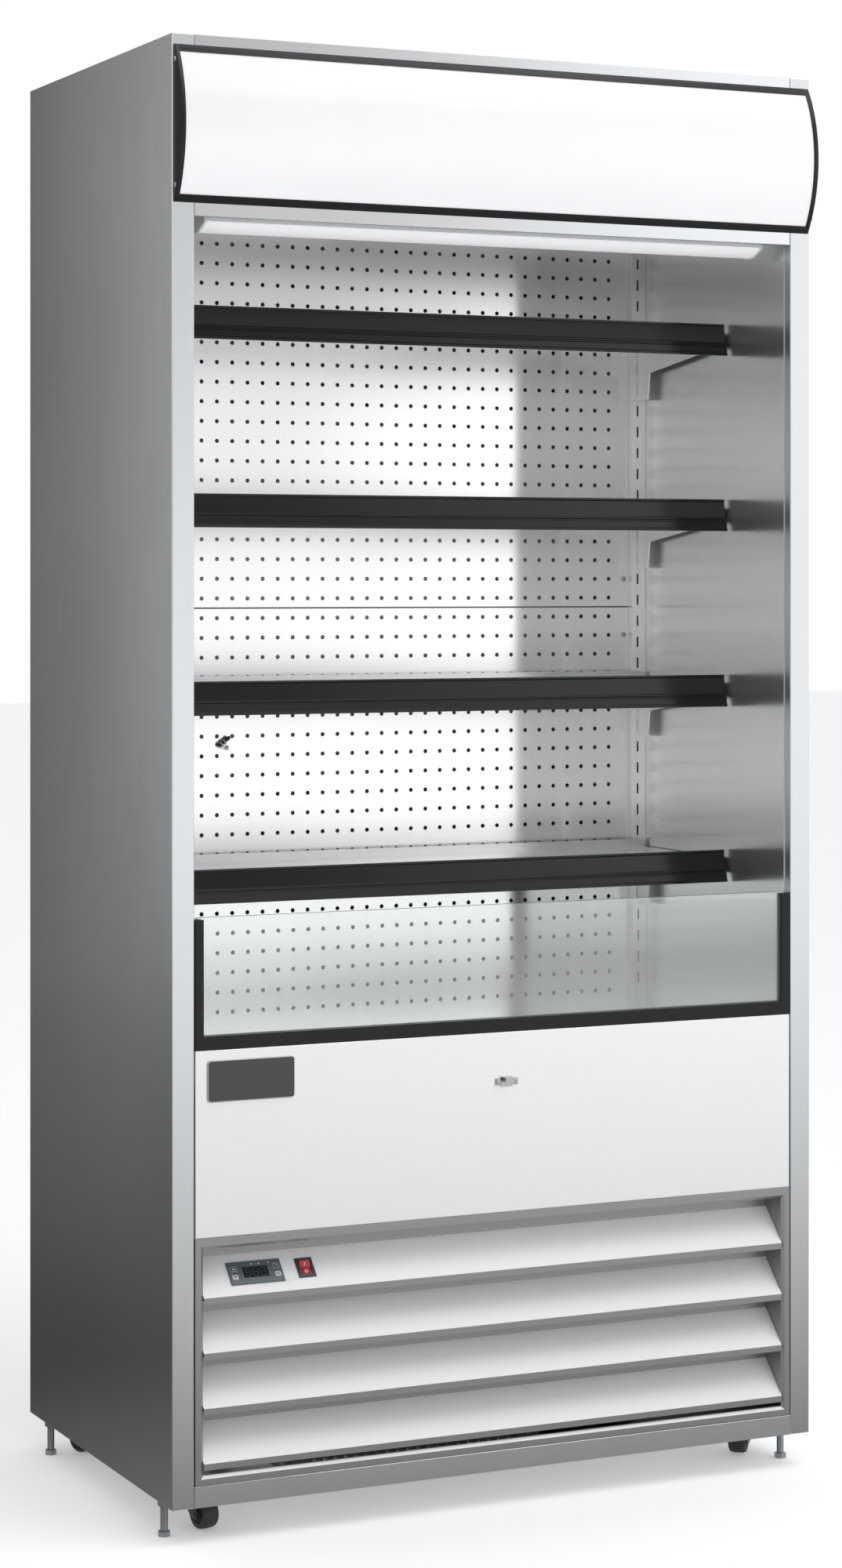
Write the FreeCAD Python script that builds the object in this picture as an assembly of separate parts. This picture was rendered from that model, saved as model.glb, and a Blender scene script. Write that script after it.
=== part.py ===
import FreeCAD, Part
import math
import os

# Open multideck display fridge, self-contained, on levelling feet and castors.
# Millimetres.  +Z is up, +Y runs to the back, the open front faces -Y, and X = 0
# is the middle plane.  The origin is the middle of the footprint on the floor.

vec = FreeCAD.Vector
ALONG_X = vec(1, 0, 0)
ALONG_Y = vec(0, 1, 0)
ALONG_Z = vec(0, 0, 1)
ORIGIN = vec(0, 0, 0)

# ---------------------------------------------------------------- driving sizes
# Cabinet
cabinet_width = 1000.0
cabinet_depth = 600.0
panel_height = 1990.0
ground_gap = 50.0

# Sheet and clearances
sheet = 1.5
lining = 1.0
base_sheet = 3.0
seam = 0.5
fit_gap = 0.3
running_gap = 0.05
bend = 1.2

# Side walls
pillar_width = 32.0
pillar_return = 22.0
lining_overlap = 5.0
rear_flange = 18.0
back_insulation = 49.5
floor_insulation = 45.0
front_insulation = 30.0
top_insulation = 47.5

# Front, from the bottom up
kick_rail_height = 29.0
kick_rail_return = 14.0
louvre_height = 333.5
front_panel_height = 253.5
front_panel_return = 12.0
glass_frame_height = 176.5
header_band = 18.0
sign_height = 213.0
top_strip = 14.5
sign_bulge = 30.0

# Louvre grille
louvre_bar = 12.5
louvre_bar_depth = 8.0
louvre_top_bar = 15.0
louvre_chamfer = 4.0
louvre_cheek_depth = 58.0
blade_count = 4
blade_pitch = 74.7
blade_depth = 46.0
blade_rise = 47.0
blade_lip = 8.7
blade_flange = 12.0
blade_sheet = 1.2
lowest_blade_edge = 28.5

# Controls on the top blade
controls_up_slope = 33.5
controller_x = -369.5
controller_width = 79.0
controller_height = 36.0
controller_rim = 2.5
controller_body_width = 70.0
controller_body_height = 28.5
controller_body_depth = 36.0
display_width = 37.0
display_height = 17.0
key_width = 7.0
key_height = 6.0
key_travel = 0.6
key_column = 31.5
key_row = 6.5
switch_x = -295.5
switch_width = 25.5
switch_height = 31.0
switch_rim = 2.0
switch_body_depth = 22.0
rocker_width = 15.0
rocker_height = 21.0
rocker_tilt = 8.0

# Front glass in its channel
glass_bar_side = 12.5
glass_bar_bottom = 18.5
glass_bar_depth = 18.0
glass_setback = 6.0
glass_thickness = 6.0
glass_wall = 1.7
glass_rise = 2.5
glass_corner = 6.0

# Badge plate and curtain catch on the front panel
badge_x = -385.5
badge_below_top = 42.0
badge_width = 128.0
badge_height = 57.0
badge_thickness = 3.0
badge_corner = 5.0
catch_x = 2.5
catch_below_top = 69.5
catch_screw_pitch = 25.2

# Cold chamber
rear_duct_depth = 100.0
perforated_sheet = 1.2
duct_joint = 1261.3
hole_diameter = 6.5
hole_columns = 34
hole_column_pitch = 24.6
hole_row_pitch = 29.47
hole_margin = 12.0
deck_drop = 44.0
deck_slot_rows = 3
deck_slot_columns = 24
deck_slot_length = 26.0
deck_slot_width = 5.0
ceiling_rise = 55.5
curtain_bay = 80.0
honeycomb_depth = 47.0
honeycomb_height = 12.0
honeycomb_cell = 11.0
honeycomb_wall = 1.6
honeycomb_rows = 3
honeycomb_columns = 70

# Uprights, brackets and shelves
upright_width = 20.0
upright_inset = 15.0
upright_stand = 11.0
slot_pitch = 33.15
slot_height = 16.0
slot_width = 3.0
slot_below_rail = 20.5
slots_between_shelves = 8
shelf_count = 4
lowest_rail_top = 895.2
shelf_side_gap = 5.0
shelf_rear_gap = 4.5
shelf_depth = 247.0
shelf_sheet = 1.2
shelf_upstand = 12.5
shelf_flange = 22.0
shelf_corner = 6.0
rail_height = 48.0
rail_lean = 9.0
rail_thickness = 2.0
bracket_sheet = 2.0
bracket_reach = 241.0
bracket_nose = 36.0
bracket_heel = 62.0
bracket_leg = 103.0
bracket_leg_width = 40.0

# Lamp under the header
lamp_half_length = 438.0
lamp_setback = 33.0
lamp_depth = 45.0
lamp_slope = 13.0

# Sign
sign_rail = 10.0
sign_rim = 7.0
sign_rim_thickness = 4.0
sign_recess = 1.2
sign_sheet = 2.0
sign_cap = 2.0
sign_side_inset = 2.0

# Night curtain
curtain_half_width = 458.0
curtain_bar_radius = 5.0
curtain_bar_setback = 13.5
curtain_bar_rise = 8.0
curtain_lean = 26.0
curtain_drop = 1185.0
roller_rise = 92.0
roller_radius = 26.0
cloth_thickness = 0.8

# Levelling feet and castors
foot_inset = 12.0
foot_setback = 62.0
foot_rod_radius = 5.0
foot_head_flats = 16.0
foot_head_height = 7.0
foot_rod_above = 26.0
lock_nut_height = 8.0
castor_x = 430.0
castor_setback = 92.0
castor_plate = 3.0
castor_plate_side = 60.0
castor_wheel_radius = 21.0
castor_wheel_width = 26.0
castor_lift = 1.5
castor_trail = 22.0
castor_disc_radius = 19.0
castor_disc_height = 2.5
castor_cheek = 2.5
castor_axle_radius = 3.0
castor_headings = {"front_left": -80.0, "front_right": 50.0, "rear_left": 115.0, "rear_right": 72.0}

# Machine compartment and air circulation
condenser_x = -110.0
condenser_width = 400.0
condenser_height = 280.0
condenser_setback = 75.0
condenser_thickness = 44.0
condenser_rows = 8
condenser_fan_radius = 120.0
compressor_x = 290.0
compressor_setback = 330.0
compressor_radius = 85.0
compressor_height = 210.0
evaporator_half_width = 380.0
evaporator_height = 220.0
evaporator_thickness = 76.0
evaporator_above_deck = 30.0
evaporator_rows = 6
evaporator_fan_x = 220.0
evaporator_fan_radius = 58.0
fan_tip_gap = 4.0
fan_blades = 5
fan_pitch = 24.0
fan_shaft_radius = 3.0
fan_shaft_length = 18.0
condenser_hub_length = 30.0
evaporator_hub_length = 18.0
fan_plate_setback = 400.0
fin_thickness = 0.6
coil_tube_radius = 4.8

# Fasteners
screw_head_radius = 4.0
screw_head_height = 1.8
screw_cross = 1.0

# ---------------------------------------------------------------- worked-out places
half_width = cabinet_width / 2
front = (sign_bulge - cabinet_depth - screw_head_height) / 2
back = front + cabinet_depth
foot_z = ground_gap
top_z = ground_gap + panel_height
opening_x = half_width - pillar_width
inner_x = opening_x - lining
front_x = opening_x - seam
frame_x = opening_x - 3 * seam
rear_x = half_width - rear_flange - seam

base_top = foot_z + base_sheet
kick_top = foot_z + kick_rail_height
louvre_low = kick_top + seam
louvre_high = louvre_low + louvre_height
panel_low = louvre_high + seam
panel_high = panel_low + front_panel_height
glass_low = panel_high + seam
glass_frame_high = glass_low + glass_frame_height
header_low = top_z - top_strip - sign_height - header_band
sign_low = header_low + header_band
sign_high = sign_low + sign_height

liner_back_y = back - sheet - back_insulation - lining
duct_y = liner_back_y - rear_duct_depth - perforated_sheet
upright_y = duct_y - upright_stand
bay_y = front + sheet + curtain_bay

bulkhead_low = panel_low + sheet
floor_foam_low = bulkhead_low + sheet
floor_liner_z = floor_foam_low + floor_insulation
deck_top = panel_high - deck_drop
ceiling_z = header_low + ceiling_rise
lid_z = top_z - sheet
top_liner_z = lid_z - top_insulation - lining

shelf_pitch = slots_between_shelves * slot_pitch
shelf_half = inner_x - shelf_side_gap
shelf_rear = upright_y - shelf_rear_gap
shelf_front = shelf_rear - shelf_depth
upright_x = inner_x - upright_inset

foot_x = half_width - foot_inset
foot_places = {
    "front_left": (-foot_x, front + foot_setback),
    "front_right": (foot_x, front + foot_setback),
    "rear_left": (-foot_x, back - foot_setback),
    "rear_right": (foot_x, back - foot_setback),
}
castor_places = {
    "front_left": (-castor_x, front + castor_setback),
    "front_right": (castor_x, front + castor_setback),
    "rear_left": (-castor_x, back - castor_setback),
    "rear_right": (castor_x, back - castor_setback),
}
wheel_z = castor_lift + castor_wheel_radius


# ---------------------------------------------------------------- helpers
def box(x_low, x_high, y_low, y_high, z_low, z_high):
    corner = vec(x_low, y_low, z_low)
    return Part.makeBox(x_high - x_low, y_high - y_low, z_high - z_low, corner)


def rod(start, direction, radius, length):
    return Part.makeCylinder(radius, length, start, direction)


def prism(points, direction):
    outline = Part.makePolygon(points + [points[0]])
    return Part.Face(outline).extrude(direction)


def side_profile(points, x_low, x_high):
    """Extrude a list of (y, z) points from x_low to x_high."""
    corners = [vec(x_low, y, z) for y, z in points]
    return prism(corners, vec(x_high - x_low, 0, 0))


def fuse(shapes):
    return shapes[0].multiFuse(shapes[1:]).removeSplitter()


def cut(shape, tools):
    return shape.cut(Part.makeCompound(tools))


def mirrored(shape):
    return shape.mirror(ORIGIN, ALONG_X)


def both_sides(shape):
    return [shape, mirrored(shape)]


def save(name, shapes):
    solids = [solid for shape in shapes for solid in shape.Solids]
    Part.makeCompound(solids).exportStep("parts/" + name + ".step")


def edges_at(shape, x=None, y=None, z=None, tolerance=0.01):
    """Edges of which every point has the given x, y or z."""
    wanted = []
    for edge in shape.Edges:
        limits = edge.BoundBox
        spans = (
            (x, limits.XMin, limits.XMax),
            (y, limits.YMin, limits.YMax),
            (z, limits.ZMin, limits.ZMax),
        )
        if all(
            goal is None or (abs(low - goal) < tolerance and abs(high - goal) < tolerance)
            for goal, low, high in spans
        ):
            wanted.append(edge)
    return wanted


def holed_plate(outline, holes, direction):
    face = Part.makeFace(Part.makeCompound([outline] + holes), "Part::FaceMakerBullseye")
    return face.extrude(direction)


def rectangle_xz(x_low, x_high, y, z_low, z_high):
    corners = [vec(x_low, y, z_low), vec(x_high, y, z_low), vec(x_high, y, z_high), vec(x_low, y, z_high)]
    return Part.makePolygon(corners + [corners[0]])


def rectangle_xy(x_low, x_high, y_low, y_high, z):
    corners = [vec(x_low, y_low, z), vec(x_high, y_low, z), vec(x_high, y_high, z), vec(x_low, y_high, z)]
    return Part.makePolygon(corners + [corners[0]])


def circle_wire(centre, direction, radius):
    return Part.Wire(Part.makeCircle(radius, centre, direction))


def hexagon_prism(x, y, z_low, height, across_flats, turn=0.0):
    radius = across_flats / 2 / math.cos(math.pi / 6)
    corners = []
    for step in range(6):
        angle = math.radians(60 * step + turn)
        corners.append(vec(x + radius * math.cos(angle), y + radius * math.sin(angle), z_low))
    return prism(corners, vec(0, 0, height))


def bent_tube(points, tube_radius, bend_radius):
    """A round tube along straight runs joined by tangent arcs."""
    edges = []
    run_start = points[0]
    for before, corner, after in zip(points, points[1:], points[2:]):
        back_way = (before - corner).normalize()
        on_way = (after - corner).normalize()
        half_angle = back_way.getAngle(on_way) / 2
        setback = bend_radius / math.tan(half_angle)
        arc_start = corner + back_way * setback
        arc_end = corner + on_way * setback
        inward = (back_way + on_way).normalize()
        centre = corner + inward * (bend_radius / math.sin(half_angle))
        arc_middle = centre - inward * bend_radius
        edges.append(Part.LineSegment(run_start, arc_start).toShape())
        edges.append(Part.Arc(arc_start, arc_middle, arc_end).toShape())
        run_start = arc_end
    edges.append(Part.LineSegment(run_start, points[-1]).toShape())
    path = Part.Wire(edges)
    section = circle_wire(points[0], points[1] - points[0], tube_radius)
    return path.makePipeShell([section], True, False)


def pan_screw(place, outward):
    """A low screw head with a cross recess, seated at place and facing outward."""
    head = Part.makeCylinder(screw_head_radius, screw_head_height, ORIGIN, ALONG_Z)
    head = head.makeFillet(0.9, edges_at(head, z=screw_head_height))
    reach = 0.62 * screw_head_radius
    depth = 0.6 * screw_head_height
    half = screw_cross / 2
    slots = [
        box(-reach, reach, -half, half, screw_head_height - depth, screw_head_height + 1),
        box(-half, half, -reach, reach, screw_head_height - depth, screw_head_height + 1),
    ]
    head = cut(head, slots)
    head.Placement = FreeCAD.Placement(place, FreeCAD.Rotation(ALONG_Z, outward))
    return head


# ---------------------------------------------------------------- outer cabinet
def side_panel():
    """Right-hand outer skin: side sheet, front pillar, its inner return, rear flange."""
    skin = fuse([
        box(half_width - sheet, half_width, front, back, foot_z, top_z),
        box(opening_x, half_width, front, front + sheet, foot_z, top_z),
        box(opening_x, opening_x + sheet, front, front + pillar_return, foot_z, top_z),
        box(half_width - rear_flange, half_width, back - sheet, back, foot_z, top_z),
    ])
    corners = edges_at(skin, x=half_width, y=front) + edges_at(skin, x=half_width, y=back)
    corners += edges_at(skin, x=opening_x, y=front)
    return skin.makeFillet(bend, corners)


def back_panel():
    """Upper rear sheet, and below it the vented cover of the machine compartment."""
    split = bulkhead_low
    upper = box(-rear_x, rear_x, back - sheet, back, split + seam, lid_z - seam)
    outline = rectangle_xz(-rear_x, rear_x, back - sheet, base_top + seam, split - seam)
    slots = []
    slot_columns = 7
    slot_rows = 12
    column_step = 2 * rear_x / (slot_columns + 0.5)
    row_step = 18.0
    first_row = base_top + 60.0
    for column in range(slot_columns):
        middle = (column - (slot_columns - 1) / 2) * column_step
        for row in range(slot_rows):
            low = first_row + row * row_step
            slots.append(rectangle_xz(middle - 45, middle + 45, back - sheet, low, low + 6))
    cover = holed_plate(outline, slots, vec(0, sheet, 0))
    return [upper, cover]


def top_panel():
    lid = box(-half_width + sheet, half_width - sheet, front + sheet, back - sheet, lid_z, top_z)
    returns = box(opening_x, opening_x + sheet, front, front + pillar_return, lid_z, top_z)
    return cut(lid, both_sides(returns))


def canopy_panel():
    """Header sheet between the pillars, with its short bottom and top returns."""
    high = top_z - seam
    face = fuse([
        box(-front_x, front_x, front, front + sheet, header_low, high),
        box(-front_x, front_x, front, front + 6, header_low, header_low + sheet),
    ])
    face = face.makeFillet(bend, edges_at(face, y=front, z=header_low))
    roller_z = header_low + roller_rise
    ear = box(
        curtain_half_width + 4, inner_x - fit_gap,
        curtain_roller_y() - 14, curtain_roller_y() + 14, roller_z - 16, roller_z + 16,
    )
    bore = rod(
        vec(curtain_half_width, curtain_roller_y(), roller_z), ALONG_X, 4 + running_gap, 20,
    )
    return [face] + both_sides(ear.cut(bore))


# ---------------------------------------------------------------- base
def base_frame():
    """Floor pan, stiffeners, castor plates and the kick rail."""
    pan = box(
        -half_width + sheet + fit_gap, half_width - sheet - fit_gap,
        front + sheet + fit_gap, back - sheet - fit_gap, foot_z, base_top,
    )
    holes = [rod(vec(x, y, foot_z - 1), ALONG_Z, foot_rod_radius + running_gap, 6)
             for x, y in foot_places.values()]
    returns = box(
        opening_x - fit_gap, opening_x + sheet + fit_gap,
        front, front + pillar_return + fit_gap, foot_z - 1, base_top + 1,
    )
    pan = cut(pan, holes + both_sides(returns))
    shapes = [pan]
    for x, y in castor_places.values():
        half = castor_plate_side / 2
        plate = box(x - half, x + half, y - half, y + half, foot_z - castor_plate, foot_z)
        plate = plate.makeFillet(6, [e for e in plate.Edges if abs(e.BoundBox.ZLength - castor_plate) < 0.01])
        bore = rod(vec(x, y, foot_z - castor_plate - 1), ALONG_Z, 5 + running_gap, castor_plate + 1)
        shapes.append(plate.cut(bore))
    for y in (front + 60, back - 100):
        shapes.append(box(-opening_x + 10, opening_x - 10, y, y + 40, base_top, base_top + 12))
    rail = fuse([
        box(-front_x, front_x, front, front + sheet, foot_z, kick_top),
        box(-front_x, front_x, front, front + kick_rail_return, kick_top - sheet, kick_top),
    ])
    shapes.append(rail.makeFillet(bend, edges_at(rail, y=front, z=kick_top)))
    return shapes


# ---------------------------------------------------------------- insulation and lining
def foam_insulation():
    """Foamed walls: two sides, back, lid, floor and the block behind the front panel."""
    behind_return = front + pillar_return
    outline = [
        (half_width - sheet, front + sheet),
        (half_width - sheet, back - sheet),
        (inner_x + lining, back - sheet),
        (inner_x + lining, behind_return),
        (opening_x + sheet, behind_return),
        (opening_x + sheet, front + sheet),
    ]
    corners = [vec(x, y, base_top) for x, y in outline]
    wall = prism(corners, vec(0, 0, lid_z - base_top))
    rear_clear = box(
        half_width - rear_flange - 1, half_width, back - sheet - 0.01, back, base_top, lid_z,
    )
    pockets = [rod(vec(x, y, base_top - 1), ALONG_Z, foot_rod_radius + 3, foot_rod_above + 24)
               for x, y in foot_places.values() if x > 0]
    wall = cut(wall, pockets + [rear_clear])
    inner = inner_x + lining
    panel_back = front + front_panel_return + 2
    blocks = [
        box(-inner, inner, liner_back_y + lining, back - sheet, floor_foam_low, lid_z),
        box(-inner_x, inner_x, bay_y + lining, liner_back_y, top_liner_z + lining, lid_z),
        box(-inner_x, inner_x, panel_back + front_insulation, liner_back_y, floor_foam_low, floor_liner_z),
        box(-inner_x, inner_x, panel_back, panel_back + front_insulation, floor_foam_low, deck_top - shelf_sheet),
    ]
    passages = [
        rod(vec(x, y, floor_foam_low - 1), ALONG_Z, 9, floor_insulation + 2)
        for x, y in pipe_passages()
    ]
    blocks[2] = cut(blocks[2], passages)
    return both_sides(wall) + blocks


def inner_liner():
    """Stainless lining sheets of the cold chamber and the ceiling of the machine bay."""
    side = box(
        inner_x, inner_x + lining, front + pillar_return - lining_overlap, liner_back_y + lining,
        base_top, lid_z,
    )
    rear = box(-inner_x, inner_x, liner_back_y, liner_back_y + lining, floor_liner_z, top_liner_z + lining)
    lid = box(-inner_x, inner_x, bay_y + lining, liner_back_y, top_liner_z, top_liner_z + lining)
    bay_front = box(-inner_x, inner_x, bay_y, bay_y + lining, ceiling_z, lid_z)
    ceiling = box(
        -inner_x, inner_x, bay_y + honeycomb_depth + 2, duct_y + perforated_sheet,
        ceiling_z, ceiling_z + lining,
    )
    front_lining_y = front + front_panel_return + 2 + front_insulation
    floor = box(-inner_x, inner_x, front_lining_y, liner_back_y, floor_liner_z, floor_liner_z + lining)
    front_sheet = box(
        -inner_x, inner_x, front_lining_y, front_lining_y + lining,
        floor_liner_z + lining, deck_top - shelf_sheet,
    )
    bulkhead = box(
        -inner_x, inner_x, front + front_panel_return + 2, back - sheet - fit_gap,
        bulkhead_low, floor_foam_low,
    )
    passages = [
        rod(vec(x, y, bulkhead_low - 1), ALONG_Z, 9, floor_insulation + 6) for x, y in pipe_passages()
    ]
    return both_sides(side) + [
        rear, lid, bay_front, ceiling, front_sheet, cut(floor, passages), cut(bulkhead, passages),
    ]


# ---------------------------------------------------------------- air ducts
def perforated_panel(z_low, z_high):
    half = upright_x - upright_width / 2 - fit_gap
    outline = rectangle_xz(-half, half, duct_y, z_low, z_high)
    holes = []
    upward = z_high > duct_joint
    reach = (z_high - duct_joint) if upward else (duct_joint - z_low)
    rows = int((reach - hole_margin) / hole_row_pitch + 0.5)
    for row in range(rows):
        offset = (row + 0.5) * hole_row_pitch
        z = duct_joint + offset if upward else duct_joint - offset
        for column in range(hole_columns):
            x = (column - (hole_columns - 1) / 2) * hole_column_pitch
            holes.append(circle_wire(vec(x, duct_y, z), ALONG_Y, hole_diameter / 2))
    return holed_plate(outline, holes, vec(0, perforated_sheet, 0))


def air_honeycomb():
    """Straightener of the air curtain, a slab of open hexagonal cells."""
    y_low = bay_y + lining + fit_gap
    y_high = bay_y + honeycomb_depth + 2 - fit_gap
    z_low = ceiling_z - honeycomb_height + lining
    half = inner_x - fit_gap
    outline = rectangle_xy(-half, half, y_low, y_high, z_low)
    pitch = honeycomb_cell + honeycomb_wall
    row_pitch = pitch * math.cos(math.pi / 6)
    radius = honeycomb_cell / 2 / math.cos(math.pi / 6)
    middle_y = (y_low + y_high) / 2
    cells = []
    for row in range(honeycomb_rows):
        y = middle_y + (row - (honeycomb_rows - 1) / 2) * row_pitch
        stagger = pitch / 2 * (row % 2) - pitch / 4
        for column in range(honeycomb_columns):
            x = (column - (honeycomb_columns - 1) / 2) * pitch + stagger
            corners = []
            for step in range(6):
                angle = math.radians(60 * step + 30)
                corners.append(vec(x + radius * math.cos(angle), y + radius * math.sin(angle), z_low))
            cells.append(Part.makePolygon(corners + [corners[0]]))
    return holed_plate(outline, cells, vec(0, 0, honeycomb_height))


def deck_tray():
    """Bottom deck with the return-air slots behind the glass and folded edges."""
    y_low = front + glass_bar_depth + 1
    y_high = duct_y - fit_gap
    half = inner_x - fit_gap
    plate_low = deck_top - shelf_sheet
    outline = rectangle_xy(-half, half, y_low, y_high, plate_low)
    slots = []
    column_step = 2 * half / (deck_slot_columns + 1)
    for row in range(deck_slot_rows):
        y = y_low + 34 + row * 3 * deck_slot_width
        for column in range(deck_slot_columns):
            x = (column - (deck_slot_columns - 1) / 2) * column_step
            slots.append(rectangle_xy(
                x - deck_slot_length / 2, x + deck_slot_length / 2, y, y + deck_slot_width, plate_low,
            ))
    plate = holed_plate(outline, slots, vec(0, 0, shelf_sheet))
    upright_half = upright_width / 2 + fit_gap
    notch = box(
        upright_x - upright_half, inner_x, upright_y - fit_gap, y_high + 1,
        plate_low - 1, deck_top + 1,
    )
    return cut(plate, both_sides(notch))


# ---------------------------------------------------------------- shelf supports
def slot_heights():
    first = lowest_rail_top - slot_below_rail
    below = int((first - deck_top - slot_pitch) / slot_pitch)
    above = int((ceiling_z - first - slot_pitch) / slot_pitch)
    return [first + step * slot_pitch for step in range(-below, above + 1)]


def upright():
    """Slotted channel from the deck to the ceiling, its sides reaching the rear lining."""
    x_low = upright_x - upright_width / 2
    x_high = inner_x - fit_gap
    low = floor_liner_z + lining
    outline = rectangle_xz(x_low, x_high, upright_y, low, ceiling_z)
    slots = [
        rectangle_xz(upright_x - slot_width / 2, upright_x + slot_width / 2, upright_y,
                     z - slot_height / 2, z + slot_height / 2)
        for z in slot_heights()
    ]
    face = holed_plate(outline, slots, vec(0, sheet, 0))
    sides = [
        box(x_low, x_low + sheet, upright_y, liner_back_y, low, ceiling_z),
        box(x_high - sheet, x_high, upright_y, liner_back_y, low, ceiling_z),
    ]
    return fuse([face] + sides)


def bracket(rail_top):
    """Tapered arm under one end of a shelf, with two hooks in the upright's slots."""
    arm_top = rail_top - shelf_upstand - shelf_sheet - fit_gap
    arm_rear = upright_y
    arm_front = upright_y - bracket_reach
    leg_front = upright_y - bracket_leg_width
    half = bracket_sheet / 2
    outline = [
        (arm_rear, arm_top),
        (arm_front, arm_top),
        (arm_front, rail_top - bracket_nose),
        (leg_front, rail_top - bracket_heel),
        (upright_y - bracket_leg_width + 6, rail_top - bracket_leg),
        (arm_rear, rail_top - bracket_leg),
    ]
    plate = side_profile(outline, upright_x - half, upright_x + half)
    hooks = []
    for below in (slot_below_rail, slot_below_rail + 2 * slot_pitch):
        z = rail_top - below
        hooks.append(box(upright_x - half, upright_x + half, arm_rear - 2, upright_y + 7, z - 6, z + 6))
    holes = [
        rod(vec(upright_x - 5, upright_y - reach, arm_top - 9), ALONG_X, 2.5, 10)
        for reach in (38, 66, 94)
    ]
    return cut(fuse([plate] + hooks), holes)


def shelf_supports():
    pieces = [upright()]
    for index in range(shelf_count):
        pieces.append(bracket(lowest_rail_top + index * shelf_pitch))
    return pieces + [mirrored(piece) for piece in pieces]


# ---------------------------------------------------------------- shelves
def shelf_plate(rail_top):
    """Stainless shelf: flat sheet, rear upstand, side flanges and front flange."""
    surface = rail_top - shelf_upstand
    under = surface - shelf_sheet
    upstand = box(-shelf_half, shelf_half, shelf_rear - shelf_sheet, shelf_rear, under, rail_top)
    top_corners = edges_at(upstand, x=shelf_half, z=rail_top) + edges_at(upstand, x=-shelf_half, z=rail_top)
    upstand = upstand.makeFillet(shelf_corner, top_corners)
    flange = box(
        shelf_half - shelf_sheet, shelf_half, shelf_front, shelf_rear, surface - shelf_flange, surface,
    )
    return fuse([
        box(-shelf_half, shelf_half, shelf_front, shelf_rear, under, surface),
        box(-shelf_half, shelf_half, shelf_front, shelf_front + shelf_sheet, surface - shelf_flange, surface),
        upstand,
    ] + both_sides(flange))


def ticket_rail(rail_top):
    """Black rail clipped along the shelf's front: leaning face, ridge pair, bottom lip."""
    rear = shelf_front - fit_gap
    low = rail_top - rail_height
    face_top = rear - rail_thickness
    face_low = face_top - rail_lean
    ridge = rail_top - 0.58 * rail_height
    ridge_y = face_top - 0.58 * rail_lean
    outline = [
        (rear, rail_top),
        (face_top - 1.2, rail_top),
        (face_top - 1.2, rail_top - 3),
        (face_top, rail_top - 4.5),
        (ridge_y, ridge),
        (ridge_y - 2.2, ridge - 0.6),
        (ridge_y - 2.4, ridge - 2.8),
        (ridge_y - 0.8, ridge - 3.6),
        (ridge_y - 0.9, ridge - 5.6),
        (ridge_y - 2.9, ridge - 6.4),
        (face_low, low + 4.5),
        (face_low - 1.6, low + 3.8),
        (face_low - 1.6, low),
        (face_low + 2.4, low),
        (face_low + 3.0, low + 4.5),
        (rear, ridge),
    ]
    return side_profile(outline, -shelf_half, shelf_half)


# ---------------------------------------------------------------- front below the opening
def mitred_bar(x_low, x_high, z_low, z_high, inset_low, inset_high, upright_bar, depth):
    """A bar whose ends are cut on a slant by inset_low and inset_high."""
    if upright_bar:
        corners = [
            vec(x_low, front, z_low), vec(x_high, front, z_low + inset_low),
            vec(x_high, front, z_high - inset_high), vec(x_low, front, z_high),
        ]
    else:
        corners = [
            vec(x_low, front, z_low), vec(x_high, front, z_low),
            vec(x_high - inset_high, front, z_high), vec(x_low + inset_low, front, z_high),
        ]
    return prism(corners, vec(0, depth, 0))


def louvre_frame():
    side = mitred_bar(
        -frame_x, -frame_x + louvre_bar, louvre_low, louvre_high,
        louvre_bar, louvre_top_bar, True, louvre_bar_depth,
    )
    side = side.makeChamfer(louvre_chamfer, edges_at(side, x=-frame_x + louvre_bar, y=front))
    bottom = mitred_bar(
        -frame_x, frame_x, louvre_low, louvre_low + louvre_bar,
        louvre_bar, louvre_bar, False, louvre_bar_depth,
    )
    bottom = bottom.makeChamfer(louvre_chamfer, edges_at(bottom, y=front, z=louvre_low + louvre_bar))
    corners = [
        vec(-frame_x, front, louvre_high), vec(frame_x, front, louvre_high),
        vec(frame_x - louvre_bar, front, louvre_high - louvre_top_bar),
        vec(-frame_x + louvre_bar, front, louvre_high - louvre_top_bar),
    ]
    top = prism(corners, vec(0, louvre_bar_depth, 0))
    top = top.makeChamfer(louvre_chamfer, edges_at(top, y=front, z=louvre_high - louvre_top_bar))
    return both_sides(side) + [bottom, top]


def blade(edge_z):
    """One louvre blade: sloping face, upright lip along its lower edge and flange along its upper edge."""
    slope = blade_rise / blade_depth
    drop = blade_sheet * math.sqrt(1 + slope * slope)
    face_front = front + fit_gap
    outline = [
        (face_front, edge_z - blade_lip),
        (face_front, edge_z),
        (face_front + blade_depth, edge_z + blade_rise),
        (face_front + blade_depth, edge_z + blade_rise + blade_flange),
        (face_front + blade_depth + blade_sheet, edge_z + blade_rise + blade_flange),
        (face_front + blade_depth + blade_sheet, edge_z + blade_rise + blade_sheet * slope - drop),
        (face_front + blade_sheet, edge_z + blade_sheet * slope - drop),
        (face_front + blade_sheet, edge_z - blade_lip),
    ]
    half = frame_x - louvre_bar - fit_gap
    return side_profile(outline, -half, half)


def on_top_blade(shape, x):
    """Move a shape drawn flat, +Z outward, to its place on the top blade's face."""
    top_edge = louvre_low + lowest_blade_edge + (blade_count - 1) * blade_pitch
    angle = math.degrees(math.atan2(blade_rise, blade_depth))
    along = controls_up_slope
    place = vec(
        x,
        front + fit_gap + along * math.cos(math.radians(angle)),
        top_edge + along * math.sin(math.radians(angle)),
    )
    moved = shape.copy()
    moved.Placement = FreeCAD.Placement(place, FreeCAD.Rotation(ALONG_X, angle))
    return moved


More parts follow.
